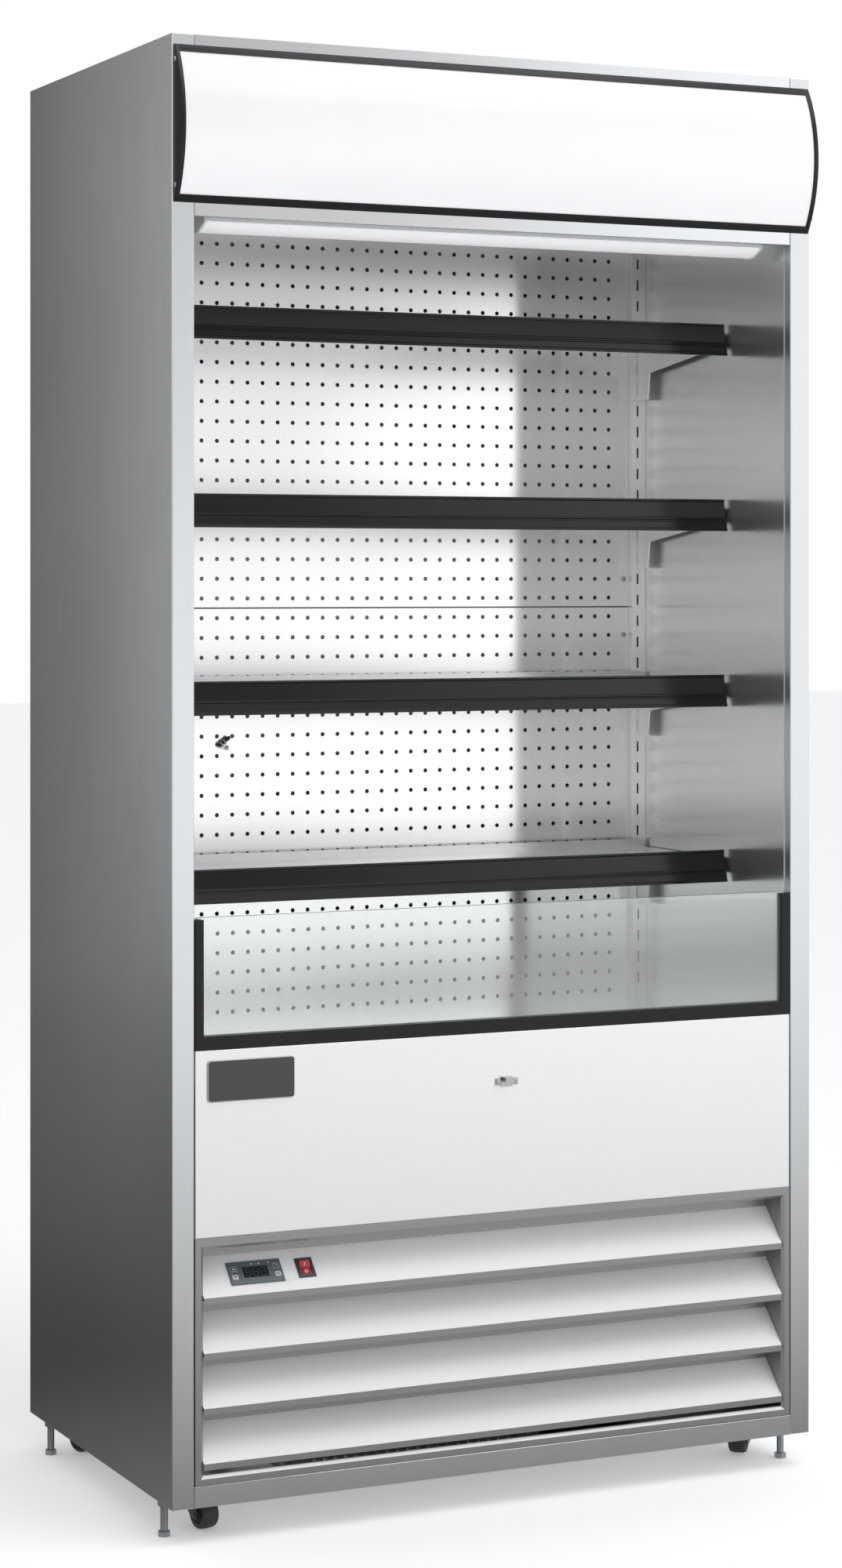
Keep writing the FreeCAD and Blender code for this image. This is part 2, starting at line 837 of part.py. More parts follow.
def louvre_grille():
    blades = [blade(louvre_low + lowest_blade_edge + index * blade_pitch) for index in range(blade_count)]
    half_w = controller_body_width / 2 + fit_gap
    half_h = controller_body_height / 2 + fit_gap
    controller_hole = box(-half_w, half_w, -half_h, half_h, -6, 6)
    half_w = (switch_width - 2 * switch_rim) / 2 + fit_gap
    half_h = (switch_height - 2 * switch_rim) / 2 + fit_gap
    switch_hole = box(-half_w, half_w, -half_h, half_h, -6, 6)
    blades[-1] = cut(blades[-1], [on_top_blade(controller_hole, controller_x), on_top_blade(switch_hole, switch_x)])
    cheek_x = frame_x - louvre_bar
    cheek = box(
        cheek_x, cheek_x + sheet, front + louvre_bar_depth, front + louvre_cheek_depth,
        louvre_low + 1, louvre_high - 1,
    )
    return louvre_frame() + blades + both_sides(cheek)


def front_panel():
    """Plain stainless front, a shallow pan with folded edges."""
    outer = box(-frame_x, frame_x, front, front + front_panel_return, panel_low, panel_high)
    outer = outer.makeFillet(bend, edges_at(outer, y=front))
    hollow = box(
        -frame_x + sheet, frame_x - sheet, front + sheet, back, panel_low + sheet, panel_high - sheet,
    )
    return outer.cut(hollow)


def badge_plate():
    """Bare badge plate with a bevelled rim."""
    z = panel_high - badge_below_top
    plate = box(
        badge_x - badge_width / 2, badge_x + badge_width / 2, front - badge_thickness, front,
        z - badge_height / 2, z + badge_height / 2,
    )
    uprights = [edge for edge in plate.Edges if abs(edge.BoundBox.YLength - badge_thickness) < 0.01]
    plate = plate.makeFillet(badge_corner, uprights)
    rim = edges_at(plate, y=front - badge_thickness)
    return plate.makeChamfer(1.5, rim)


def front_glass():
    side = frame_x - glass_wall
    low = glass_low + glass_bar_bottom - 8
    high = glass_frame_high + glass_rise
    y = front + glass_setback
    pane = box(-side, side, y, y + glass_thickness, low, high)
    corners = edges_at(pane, x=side, z=high) + edges_at(pane, x=-side, z=high)
    return pane.makeFillet(glass_corner, corners)


def glass_frame():
    """Black U-channel round three sides of the pane, mitred at the lower corners."""
    side = mitred_bar(
        -frame_x, -frame_x + glass_bar_side, glass_low, glass_frame_high,
        glass_bar_bottom, 0, True, glass_bar_depth,
    )
    bottom = prism([
        vec(-frame_x, front, glass_low), vec(frame_x, front, glass_low),
        vec(frame_x - glass_bar_side, front, glass_low + glass_bar_bottom),
        vec(-frame_x + glass_bar_side, front, glass_low + glass_bar_bottom),
    ], vec(0, glass_bar_depth, 0))
    groove_side = frame_x - glass_wall + 0.2
    groove = box(
        -groove_side, groove_side, front + glass_setback - 0.1, front + glass_setback + glass_thickness + 0.1,
        glass_low + glass_bar_bottom - 8.2, glass_frame_high + 10,
    )
    return [bar.cut(groove) for bar in both_sides(side) + [bottom]]


# ---------------------------------------------------------------- controls
def key_places():
    return {
        "up": (-key_column, key_row), "down": (-key_column, -key_row),
        "set": (key_column, key_row), "defrost": (key_column, -key_row),
    }


def control_housings():
    """Controller face and body, and the rocker switch's bezel, as two solids."""
    half_w = controller_width / 2
    half_h = controller_height / 2
    face = box(-half_w, half_w, -half_h, half_h, fit_gap, controller_rim)
    face = face.makeFillet(1.0, edges_at(face, z=controller_rim))
    body = box(
        -controller_body_width / 2, controller_body_width / 2,
        -controller_body_height / 2, controller_body_height / 2, -controller_body_depth, 2 * fit_gap,
    )
    window = box(
        -display_width / 2, display_width / 2, -display_height / 2, display_height / 2,
        controller_rim - 0.6, controller_rim + 1,
    )
    wells = [
        box(x - key_width / 2 - 0.3, x + key_width / 2 + 0.3, y - key_height / 2 - 0.3,
            y + key_height / 2 + 0.3, controller_rim - 2.6, controller_rim + 1)
        for x, y in key_places().values()
    ]
    controller = cut(fuse([face, body]), [window] + wells)

    half_w = switch_width / 2
    half_h = switch_height / 2
    bezel = box(-half_w, half_w, -half_h, half_h, fit_gap, switch_rim)
    bezel = bezel.makeFillet(0.8, edges_at(bezel, z=switch_rim))
    body = box(
        -half_w + switch_rim, half_w - switch_rim, -half_h + switch_rim, half_h - switch_rim,
        -switch_body_depth, 2 * fit_gap,
    )
    well = box(
        -rocker_width / 2 - 0.5, rocker_width / 2 + 0.5, -rocker_height / 2 - 0.8,
        rocker_height / 2 + 0.8, -9, switch_rim + 1,
    )
    switch = fuse([bezel, body]).cut(well)
    return [on_top_blade(controller, controller_x), on_top_blade(switch, switch_x)]


def controller_key(x, y):
    low = controller_rim - 2.6 + key_travel + 0.2
    key = box(x - key_width / 2, x + key_width / 2, y - key_height / 2, y + key_height / 2,
              low, controller_rim + 0.8)
    key = key.makeFillet(0.5, edges_at(key, z=controller_rim + 0.8))
    return on_top_blade(key, controller_x)


def switch_rocker():
    """Rocker outline, tilted to its first position about its own pivot."""
    half_h = rocker_height / 2
    outline = [
        vec(-rocker_width / 2, -half_h, 2.6), vec(-rocker_width / 2, 0, 1.2),
        vec(-rocker_width / 2, half_h, 2.6), vec(-rocker_width / 2, half_h - 1, -2.5),
        vec(-rocker_width / 2, 2.5, -5.0), vec(-rocker_width / 2, -2.5, -5.0),
        vec(-rocker_width / 2, -half_h + 1, -2.5),
    ]
    tilt = FreeCAD.Rotation(ALONG_X, rocker_tilt)
    rocker = prism([tilt.multVec(point) for point in outline], vec(rocker_width, 0, 0))
    return on_top_blade(rocker, switch_x)


# ---------------------------------------------------------------- canopy: sign, lamp, curtain
def sign_arc():
    """Centre (y, z) and radius of the sign's outer face."""
    half_chord = sign_height / 2
    radius = (half_chord ** 2 + sign_bulge ** 2) / (2 * sign_bulge)
    return front - sign_bulge + radius, sign_low + half_chord, radius


def arc_strip(radius, thickness, z_low, z_high, x_low, x_high):
    """Curved sheet between two heights, its outer face on a circle round the sign's centre."""
    centre_y, centre_z, _ = sign_arc()

    def point(r, angle):
        return vec(x_low, centre_y - r * math.cos(angle), centre_z + r * math.sin(angle))

    outer = radius
    inner = radius - thickness
    low = math.asin((z_low - centre_z) / outer)
    high = math.asin((z_high - centre_z) / outer)
    middle = (low + high) / 2
    edges = [
        Part.Arc(point(outer, low), point(outer, middle), point(outer, high)).toShape(),
        Part.LineSegment(point(outer, high), point(inner, high)).toShape(),
        Part.Arc(point(inner, high), point(inner, middle), point(inner, low)).toShape(),
        Part.LineSegment(point(inner, low), point(outer, low)).toShape(),
    ]
    return Part.Face(Part.Wire(edges)).extrude(vec(x_high - x_low, 0, 0))


def sign_panel():
    _, _, radius = sign_arc()
    half = half_width - sign_side_inset - sign_rim + 2
    return arc_strip(
        radius - sign_recess, sign_sheet, sign_low + sign_rail - 3, sign_high - sign_rail + 3, -half, half,
    )


def sign_frame():
    """Two long rails, and at each end a rim along the curve over a flat end cap."""
    centre_y, centre_z, radius = sign_arc()
    outer_x = half_width - sign_side_inset
    rim_x = outer_x - sign_rim
    behind = box(-half_width, half_width, front, back, sign_low - 50, sign_high + 50)
    panel_space = sign_panel_space(radius)
    rails = []
    for low, high in ((sign_low, sign_low + sign_rail), (sign_high - sign_rail, sign_high)):
        rail = arc_strip(radius, sign_rim_thickness, low, high, -rim_x, rim_x)
        leg_low = low if low == sign_low else high - 3
        leg = box(-rim_x, rim_x, front - 8, front, leg_low, leg_low + 3)
        rail = fuse([rail, leg.common(sign_segment(radius - 0.5, -rim_x, rim_x))])
        rails.append(cut(rail, [behind, panel_space]))
    rim = cut(
        arc_strip(radius, sign_rim_thickness, sign_low, sign_high, rim_x, outer_x), [behind, panel_space],
    )
    cap = sign_segment(radius - sign_rim_thickness, outer_x - sign_cap, outer_x)
    end = fuse([rim, cap])
    return rails + both_sides(end)


def sign_segment(radius, x_low, x_high):
    """Circular segment in front of the cabinet's face, x_low to x_high."""
    centre_y, centre_z, _ = sign_arc()
    disc = rod(vec(x_low, centre_y, centre_z), ALONG_X, radius, x_high - x_low)
    return disc.common(box(x_low, x_high, front - sign_bulge - 5, front, sign_low, sign_high))


def sign_panel_space(radius):
    half = half_width - sign_side_inset - sign_rim + 2 + 0.2
    return arc_strip(
        radius - sign_recess + 0.1, sign_sheet + 0.2, sign_low + sign_rail - 3.2,
        sign_high - sign_rail + 3.2, -half, half,
    )


def lamp():
    """Cold-room lamp: housing, sloping diffuser below it, end fittings, and the sign's strip."""
    y_front = front + lamp_setback
    y_rear = y_front + lamp_depth
    top = header_low + 22
    lip = header_low - 2
    low = lip - lamp_slope
    half = lamp_half_length
    housing = side_profile([
        (y_front, lip), (y_front, top), (y_rear, top), (y_rear, lip - 6), (y_rear - 2, lip - 6),
        (y_rear - 2, top - 2), (y_front + 2, top - 2), (y_front + 2, lip),
    ], -half, half)
    diffuser = side_profile([
        (y_front + 2.3, lip), (y_front + 0.6, lip - 1.5), (y_front + 27, low), (y_rear - 4, low),
        (y_rear - 2.3, low + 3), (y_rear - 2.3, lip + 6), (y_front + 2.3, lip + 6),
    ], -half + 2, half - 2)
    cap = side_profile([
        (y_front, lip - 2), (y_front, top), (y_rear, top), (y_rear, low + 2), (y_rear - 4, low - 1),
        (y_front + 27, low - 1),
    ], half, half + 3)
    arm = box(half + 3, inner_x, y_front + 8, y_rear - 8, top - 3, top)
    strip = box(-inner_x + 40, inner_x - 40, front - 6, front, sign_arc()[1] - 8, sign_arc()[1] + 8)
    return [housing, diffuser] + both_sides(fuse([cap, arm])) + [strip]


def curtain_bar_place():
    return front + curtain_bar_setback, header_low + curtain_bar_rise


def curtain_line_y(z):
    """The curtain hangs in a plane that leans forward to clear the front panel."""
    bar_y, bar_z = curtain_bar_place()
    return bar_y + (z - bar_z) * curtain_lean / curtain_drop


def curtain_roller_y():
    return curtain_line_y(header_low + roller_rise) + roller_radius + fit_gap + cloth_thickness / 2


def curtain_roller():
    """Spring roller: tube with its wound curtain, and the two end pins."""
    roller_z = header_low + roller_rise
    y = curtain_roller_y()
    half = curtain_half_width
    tube = rod(vec(-half, y, roller_z), ALONG_X, 15, 2 * half)
    wound = rod(vec(-half + 3, y, roller_z), ALONG_X, roller_radius, 2 * half - 6)
    pins = rod(vec(-half - 8, y, roller_z), ALONG_X, 4, 2 * half + 16)
    flat = [box(half, half + 12, y - 4, y - 2.6, roller_z - 5, roller_z + 5)]
    core = cut(fuse([tube, pins]), flat)
    return [core, wound.cut(tube)]


def curtain_bar():
    y, z = curtain_bar_place()
    bar = rod(vec(-curtain_half_width, y, z), ALONG_X, curtain_bar_radius, 2 * curtain_half_width)
    grip = box(catch_x - 22, catch_x + 22, y - 1.2, y + 1.2, z - curtain_bar_radius - 3, z)
    return fuse([bar, grip])


def curtain_cloth():
    """Free stretch of the curtain between the roller and the pull bar."""
    _, bar_z = curtain_bar_place()
    low = bar_z + curtain_bar_radius + fit_gap
    high = header_low + roller_rise
    half_t = cloth_thickness / 2
    outline = [
        (curtain_line_y(low) - half_t, low), (curtain_line_y(high) - half_t, high),
        (curtain_line_y(high) + half_t, high), (curtain_line_y(low) + half_t, low),
    ]
    return side_profile(outline, -curtain_half_width + 3, curtain_half_width - 3)


# ---------------------------------------------------------------- feet and castors
def levelling_foot(x, y):
    """Bolt standing on its hexagon head, its rod through the floor pan."""
    rod_top = base_top + foot_rod_above
    head = hexagon_prism(x, y, 0, foot_head_height, foot_head_flats, 12)
    head = head.makeChamfer(0.8, edges_at(head, z=0))
    shank = rod(vec(x, y, foot_head_height - 1), ALONG_Z, foot_rod_radius, rod_top - foot_head_height + 1)
    return fuse([head, shank])


def lock_nut(x, y):
    nut = hexagon_prism(x, y, foot_z - lock_nut_height, lock_nut_height, foot_head_flats, 27)
    return nut.cut(rod(vec(x, y, foot_z - lock_nut_height - 1), ALONG_Z, foot_rod_radius + running_gap, 12))


def castor_parts(place, heading):
    """Swivelling fork with its axle, and the wheel, turned to its heading."""
    x, y = place
    disc_top = foot_z - castor_plate - fit_gap
    disc_low = disc_top - castor_disc_height
    cheek_in = castor_wheel_width / 2 + 0.8
    cheek_out = cheek_in + castor_cheek
    bearing = rod(vec(0, 0, disc_low), ALONG_Z, castor_disc_radius, castor_disc_height)
    king_pin = rod(vec(0, 0, disc_low), ALONG_Z, 5, foot_z - fit_gap - disc_low)
    outline = [
        vec(-12, cheek_in, disc_top), vec(14, cheek_in, disc_top), vec(castor_trail + 7, cheek_in, wheel_z + 4),
        vec(castor_trail + 7, cheek_in, wheel_z - 6), vec(castor_trail - 7, cheek_in, wheel_z - 6),
        vec(-8, cheek_in, disc_low - 8),
    ]
    cheek = prism(outline, vec(0, castor_cheek, 0))
    other = cheek.mirror(ORIGIN, ALONG_Y)
    bridge = box(-12, 14, -cheek_out, cheek_out, disc_low, disc_top)
    axle_hole = rod(vec(castor_trail, -30, wheel_z), ALONG_Y, castor_axle_radius, 60)
    swept = rod(
        vec(castor_trail, -cheek_in, wheel_z), ALONG_Y, castor_wheel_radius + 0.6, 2 * cheek_in,
    )
    fork = fuse([bearing, king_pin, cheek, other, bridge]).cut(axle_hole).cut(swept)
    axle = rod(
        vec(castor_trail, -cheek_out - 1, wheel_z), ALONG_Y, castor_axle_radius, 2 * cheek_out + 2,
    )
    wheel = rod(
        vec(castor_trail, -castor_wheel_width / 2, wheel_z), ALONG_Y, castor_wheel_radius, castor_wheel_width,
    )
    rims = [edge for edge in wheel.Edges if edge.BoundBox.YLength < 0.01]
    wheel = wheel.makeFillet(5, rims)
    bore = rod(
        vec(castor_trail, -30, wheel_z), ALONG_Y, castor_axle_radius + running_gap, 60,
    )
    wheel = wheel.cut(bore)
    turned = []
    for shape in (fork, axle, wheel):
        moved = shape.copy()
        moved.Placement = FreeCAD.Placement(vec(x, y, 0), FreeCAD.Rotation(ALONG_Z, heading))
        turned.append(moved)
    return turned


# ---------------------------------------------------------------- refrigeration
def finned_coil(x_low, x_high, y_low, y_high, z_low, z_high, fin_pitch, tube_rows):
    """Tube bank through a row of fins; with even rows both open ends lie at x_high."""
    shapes = []
    fins = int((x_high - x_low) / fin_pitch)
    first = (x_low + x_high - fins * fin_pitch) / 2
    for index in range(fins + 1):
        x = first + index * fin_pitch
        shapes.append(box(x - fin_thickness, x + fin_thickness, y_low, y_high, z_low, z_high))
    row_step = (z_high - z_low) / tube_rows
    middle_y = (y_low + y_high) / 2
    for row in range(tube_rows):
        z = z_low + (row + 0.5) * row_step
        shapes.append(rod(vec(x_low - 6, middle_y, z), ALONG_X, coil_tube_radius, x_high - x_low + 12))
    bends = []
    for row in range(tube_rows - 1):
        z = z_low + (row + 1) * row_step
        outward = -1 if row % 2 == 0 else 1
        end_x = x_high + 6 if outward > 0 else x_low - 6
        points = [
            vec(end_x - outward, middle_y, z - row_step / 2),
            vec(end_x + outward * row_step / 2, middle_y, z - row_step / 2),
            vec(end_x + outward * row_step / 2, middle_y, z + row_step / 2),
            vec(end_x - outward, middle_y, z + row_step / 2),
        ]
        bends.append(bent_tube(points, coil_tube_radius, row_step / 2 - 0.5))
    return fuse(shapes + bends)


def condenser_limits():
    y_low = front + condenser_setback
    z_low = base_top + 14
    return (
        condenser_x - condenser_width / 2, condenser_x + condenser_width / 2,
        y_low, y_low + condenser_thickness, z_low, z_low + condenser_height,
    )


def condenser_coil():
    return [finned_coil(*condenser_limits(), 16.0, condenser_rows)]


def evaporator_limits():
    y_middle = duct_y + perforated_sheet + rear_duct_depth / 2
    z_low = deck_top + evaporator_above_deck
    return (
        -evaporator_half_width, evaporator_half_width,
        y_middle - evaporator_thickness / 2, y_middle + evaporator_thickness / 2,
        z_low, z_low + evaporator_height,
    )


def evaporator_coil():
    """Coil in the rear duct, on two feet that stand on the chamber floor."""
    limits = evaporator_limits()
    coil = finned_coil(*limits, 19.0, evaporator_rows)
    feet = []
    for x in (-evaporator_half_width + 60, evaporator_half_width - 60):
        feet.append(box(x - 1.5, x + 1.5, limits[2] + 5, limits[3] - 5, floor_liner_z + lining, limits[4]))
    return [coil] + feet


def fan_rotor(x, y, z, radius, hub_length):
    """Axial fan: hub, shaft towards +Y and pitched blades; the axis runs along Y."""
    hub_radius = 0.3 * radius
    shapes = [
        rod(vec(0, -hub_length / 2, 0), ALONG_Y, hub_radius, hub_length),
        rod(vec(0, 0, 0), ALONG_Y, fan_shaft_radius, hub_length / 2 + fan_shaft_length),
    ]
    chord = 1.7 * radius * math.sin(math.pi / fan_blades) / 2
    for index in range(fan_blades):
        vane = box(-chord / 2, chord / 2, -0.8, 0.8, hub_radius - 4, radius)
        vane = vane.rotate(ORIGIN, ALONG_Z, fan_pitch)
        vane = vane.rotate(ORIGIN, ALONG_Y, index * 360.0 / fan_blades)
        shapes.append(vane)
    rotor = fuse(shapes).common(rod(vec(0, -60, 0), ALONG_Y, radius, 120))
    rotor.translate(vec(x, y, z))
    return rotor


def fan_carrier(x, y, z, plate_rear, ring, hub_length, motor_radius, motor_length):
    """Motor on three arms that stand on the ring plate's rear face, behind the rotor at y."""
    arm_y = y + hub_length / 2 + 3
    motor_y = arm_y + 2
    can = rod(vec(0, motor_y, 0), ALONG_Y, motor_radius, motor_length)
    shapes = [can.makeFillet(2, edges_at(can, y=motor_y + motor_length))]
    outer = ring + 9
    for turn in (60, 180, 300):
        link = box(-4, 4, arm_y, arm_y + 3, motor_radius - 4, outer)
        post = box(-4, 4, plate_rear, arm_y + 3, outer - 3, outer)
        for piece in (link, post):
            shapes.append(piece.rotate(ORIGIN, ALONG_Y, turn))
    bore = rod(vec(0, y, 0), ALONG_Y, fan_shaft_radius + running_gap, hub_length / 2 + fan_shaft_length + 2)
    carrier = fuse(shapes).cut(bore)
    carrier.translate(vec(x, 0, z))
    return carrier


def condenser_fan_place():
    x_low, x_high, _, y_high, z_low, z_high = condenser_limits()
    return (x_low + x_high) / 2, y_high + 40, (z_low + z_high) / 2


def evaporator_fan_z():
    return (floor_liner_z + lining + deck_top - shelf_sheet) / 2


def fan_mounts():
    """Shroud and motor behind the condenser; ring plate and two motors below the deck."""
    x, y, z = condenser_fan_place()
    x_low, x_high, _, coil_y, _, z_high = condenser_limits()
    shroud_y = coil_y + 0.5
    shroud_rear = y + 12
    shroud = box(x_low, x_high, shroud_y, shroud_rear, base_top + 12, z_high + 2)
    hollow = box(x_low + sheet, x_high - sheet, shroud_y, shroud_rear - sheet,
                 base_top + 12 + sheet, z_high + 2 - sheet)
    ring = condenser_fan_radius + fan_tip_gap
    shroud = cut(shroud, [hollow, rod(vec(x, shroud_y, z), ALONG_Y, ring, 80)])
    carrier = fan_carrier(x, y, z, shroud_rear, ring, condenser_hub_length, 36, 50)

    plate_y = front + fan_plate_setback
    low = floor_liner_z + lining
    high = deck_top - shelf_sheet - fit_gap
    fan_z = evaporator_fan_z()
    ring = evaporator_fan_radius + fan_tip_gap
    plate_half = upright_x - upright_width / 2
    outline = rectangle_xz(-plate_half, plate_half, plate_y, low, high)
    rings = [circle_wire(vec(side * evaporator_fan_x, plate_y, fan_z), ALONG_Y, ring) for side in (-1, 1)]
    shapes = [shroud, carrier, holed_plate(outline, rings, vec(0, sheet, 0))]
    for side in (-1, 1):
        shapes.append(fan_carrier(
            side * evaporator_fan_x, plate_y, fan_z, plate_y + sheet, ring, evaporator_hub_length, 22, 36,
        ))
    return shapes


def compressor():
    """Hermetic compressor: welded can, foot plate, four grommets, terminal box."""
    x = compressor_x
    y = front + compressor_setback
    low = base_top + 14
    can = rod(vec(x, y, low + 2), ALONG_Z, compressor_radius, compressor_height)
    can = can.makeFillet(34, edges_at(can, z=low + 2 + compressor_height))
    seam_ring = rod(vec(x, y, low + 0.58 * compressor_height), ALONG_Z, compressor_radius + 3, 7)
    plate = box(x - 95, x + 95, y - 80, y + 80, low, low + 3)
    terminal = box(x - 28, x + 28, y - compressor_radius - 34, y - compressor_radius + 20, low + 60, low + 130)
    body = fuse([can, seam_ring, plate, terminal])
    grommets = []
    for dx in (-82, 82):
        for dy in (-66, 66):
            grommets.append(rod(vec(x + dx, y + dy, base_top), ALONG_Z, 11, 14))
    return [body] + grommets


def pipe_passages():
    """Places (x, y) where the liquid and suction lines pass the insulated floor."""
    return [(400.0, duct_y + 40), (430.0, duct_y + 75)]


def refrigerant_pipes():
    """Discharge, liquid and suction lines between compressor, condenser and evaporator."""
    shell_x = compressor_x
    shell_y = front + compressor_setback
    shell_top = base_top + 16 + compressor_height
    _, coil_high_x, y_low, y_high, z_low, z_high = condenser_limits()
    coil_y = (y_low + y_high) / 2
    step = condenser_height / condenser_rows
    (liquid_x, liquid_y), (suction_x, suction_y) = pipe_passages()
    limits = evaporator_limits()
    evap_y = (limits[2] + limits[3]) / 2
    evap_step = evaporator_height / evaporator_rows
    discharge = bent_tube([
        vec(shell_x - 30, shell_y, shell_top + fit_gap), vec(shell_x - 30, shell_y, shell_top + 40),
        vec(shell_x - 30, coil_y, shell_top + 40), vec(coil_high_x + 45, coil_y, shell_top + 40),
        vec(coil_high_x + 45, coil_y, z_high - step / 2),
        vec(coil_high_x + 6 + fit_gap, coil_y, z_high - step / 2),
    ], coil_tube_radius - 0.8, 14)
    liquid = bent_tube([
        vec(coil_high_x + 6 + fit_gap, coil_y, z_low + step / 2), vec(coil_high_x + 60, coil_y, z_low + step / 2),
        vec(coil_high_x + 60, liquid_y, z_low + step / 2), vec(liquid_x, liquid_y, z_low + step / 2),
        vec(liquid_x, liquid_y, limits[4] + evap_step / 2), vec(liquid_x, evap_y, limits[4] + evap_step / 2),
        vec(limits[1] + 6 + fit_gap, evap_y, limits[4] + evap_step / 2),
    ], coil_tube_radius - 1.8, 6)
    suction = bent_tube([
        vec(limits[1] + 6 + fit_gap, evap_y, limits[5] - evap_step / 2),
        vec(suction_x, evap_y, limits[5] - evap_step / 2), vec(suction_x, suction_y, limits[5] - evap_step / 2),
        vec(suction_x, suction_y, shell_top + 30), vec(shell_x + 30, suction_y, shell_top + 30),
        vec(shell_x + 30, shell_y, shell_top + 30), vec(shell_x + 30, shell_y, shell_top + fit_gap),
    ], coil_tube_radius, 8)
    return [discharge, liquid, suction]


# ---------------------------------------------------------------- small pieces
def sensor_probe():
    """Air sensor capsule held by a clip on the lower duct panel."""
    x = -249.5
    z = deck_top + 437.0
    y = duct_y
    capsule = rod(vec(x - 9, y - 6, z - 9), vec(1, 0, 1), 3.6, 26)
    capsule = capsule.makeFillet(3.0, [edge for edge in capsule.Edges if edge.BoundBox.DiagonalLength < 12])
    clip = fuse([
        rod(vec(x - 1, y - 6, z - 1), vec(1, 0, 1), 4.8, 7),
        box(x - 5, x + 5, y - 5, y, z - 10, z + 2),
    ])
    clip = clip.cut(rod(vec(x - 15, y - 6, z - 15), vec(1, 0, 1), 3.65, 50))
    return [capsule, clip]


def curtain_catch():
    """Hooked plate that holds the curtain's grip, between two screws on the front panel."""
    z = panel_high - catch_below_top
    y = front
    plate = box(catch_x - 9, catch_x + 9, y - 1.5, y, z - 7, z + 7)
    reach = box(catch_x - 6, catch_x + 6, y - 11, y - 1.5, z + 5, z + 6.5)
    tip = box(catch_x - 6, catch_x + 6, y - 11, y - 9.5, z - 1, z + 6.5)
    tabs = box(catch_x - catch_screw_pitch / 2 - 5, catch_x + catch_screw_pitch / 2 + 5, y - 1.5, y, z - 5, z + 5)
    return fuse([plate, reach, tip, tabs])


def fasteners():
    """Lock nuts of the feet, the curtain catch, and every visible screw."""
    shapes = [lock_nut(x, y) for x, y in foot_places.values()]
    shapes.append(curtain_catch())
    catch_z = panel_high - catch_below_top
    forward = vec(0, -1, 0)
    for side in (-1, 1):
        shapes.append(pan_screw(vec(catch_x + side * catch_screw_pitch / 2, front - 1.5, catch_z), forward))
        panel_x = side * (upright_x - upright_width / 2 - 9)
        for z in (duct_joint + 44, duct_joint - 44):
            shapes.append(pan_screw(vec(panel_x, duct_y, z), forward))
        for z in (sign_low + 22, sign_high - 22):
            shapes.append(pan_screw(vec(side * (half_width - sign_side_inset), front - 6, z), vec(side, 0, 0)))
        for z in (base_top + 25, bulkhead_low - 25, bulkhead_low + 30, lid_z - 40, (bulkhead_low + lid_z) / 2):
            shapes.append(pan_screw(vec(side * (rear_x - 15), back, z), ALONG_Y))
    return shapes


# ---------------------------------------------------------------- build
def main():
    os.makedirs("parts", exist_ok=True)
    right_panel = side_panel()
    save("side_panel_right", [right_panel])
    save("side_panel_left", [mirrored(right_panel)])
    save("back_panel", back_panel())
    save("top_panel", [top_panel()])
    save("canopy_panel", canopy_panel())
    save("base_frame", base_frame())
    save("foam_insulation", foam_insulation())
    save("inner_liner", inner_liner())
    save("duct_panel_upper", [perforated_panel(duct_joint + seam / 2, ceiling_z)])
    save("duct_panel_lower", [perforated_panel(deck_top, duct_joint - seam / 2)])
    save("air_honeycomb", [air_honeycomb()])
    save("deck_tray", [deck_tray()])
    save("shelf_supports", shelf_supports())
    for index in range(shelf_count):
        rail_top = lowest_rail_top + index * shelf_pitch
        save("shelf_plate_%d" % (index + 1), [shelf_plate(rail_top)])
        save("ticket_rail_%d" % (index + 1), [ticket_rail(rail_top)])
    save("louvre_grille", louvre_grille())
    save("front_panel", [front_panel()])
    save("badge_plate", [badge_plate()])
    save("front_glass", [front_glass()])
    save("glass_frame", glass_frame())
    save("control_housings", control_housings())
    for name, (x, y) in key_places().items():
        save("key_" + name, [controller_key(x, y)])
    save("switch_rocker", [switch_rocker()])
    save("sign_panel", [sign_panel()])
    save("sign_frame", sign_frame())
    save("lamp", lamp())
    save("curtain_roller", curtain_roller())
    save("curtain_bar", [curtain_bar()])
    save("curtain_cloth", [curtain_cloth()])
    for corner, (x, y) in foot_places.items():
        save("levelling_foot_" + corner, [levelling_foot(x, y)])
    for corner, place in castor_places.items():
        fork, axle, wheel = castor_parts(place, castor_headings[corner])
        save("castor_fork_" + corner, [fork, axle])
        save("castor_wheel_" + corner, [wheel])
    save("condenser_coil", condenser_coil())
    save("evaporator_coil", evaporator_coil())
    save("fan_mounts", fan_mounts())
    save("condenser_fan", [fan_rotor(*condenser_fan_place(), condenser_fan_radius, condenser_hub_length)])
    for name, side in (("left", -1), ("right", 1)):
        rotor = fan_rotor(
            side * evaporator_fan_x, front + fan_plate_setback, evaporator_fan_z(),
            evaporator_fan_radius, evaporator_hub_length,
        )
        save("evaporator_fan_" + name, [rotor])
    save("compressor", compressor())
    save("refrigerant_pipes", refrigerant_pipes())
    save("sensor_probe", sensor_probe())
    save("fasteners", fasteners())


main()
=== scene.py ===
import math

import bmesh
import bpy
from mathutils import Matrix, Vector

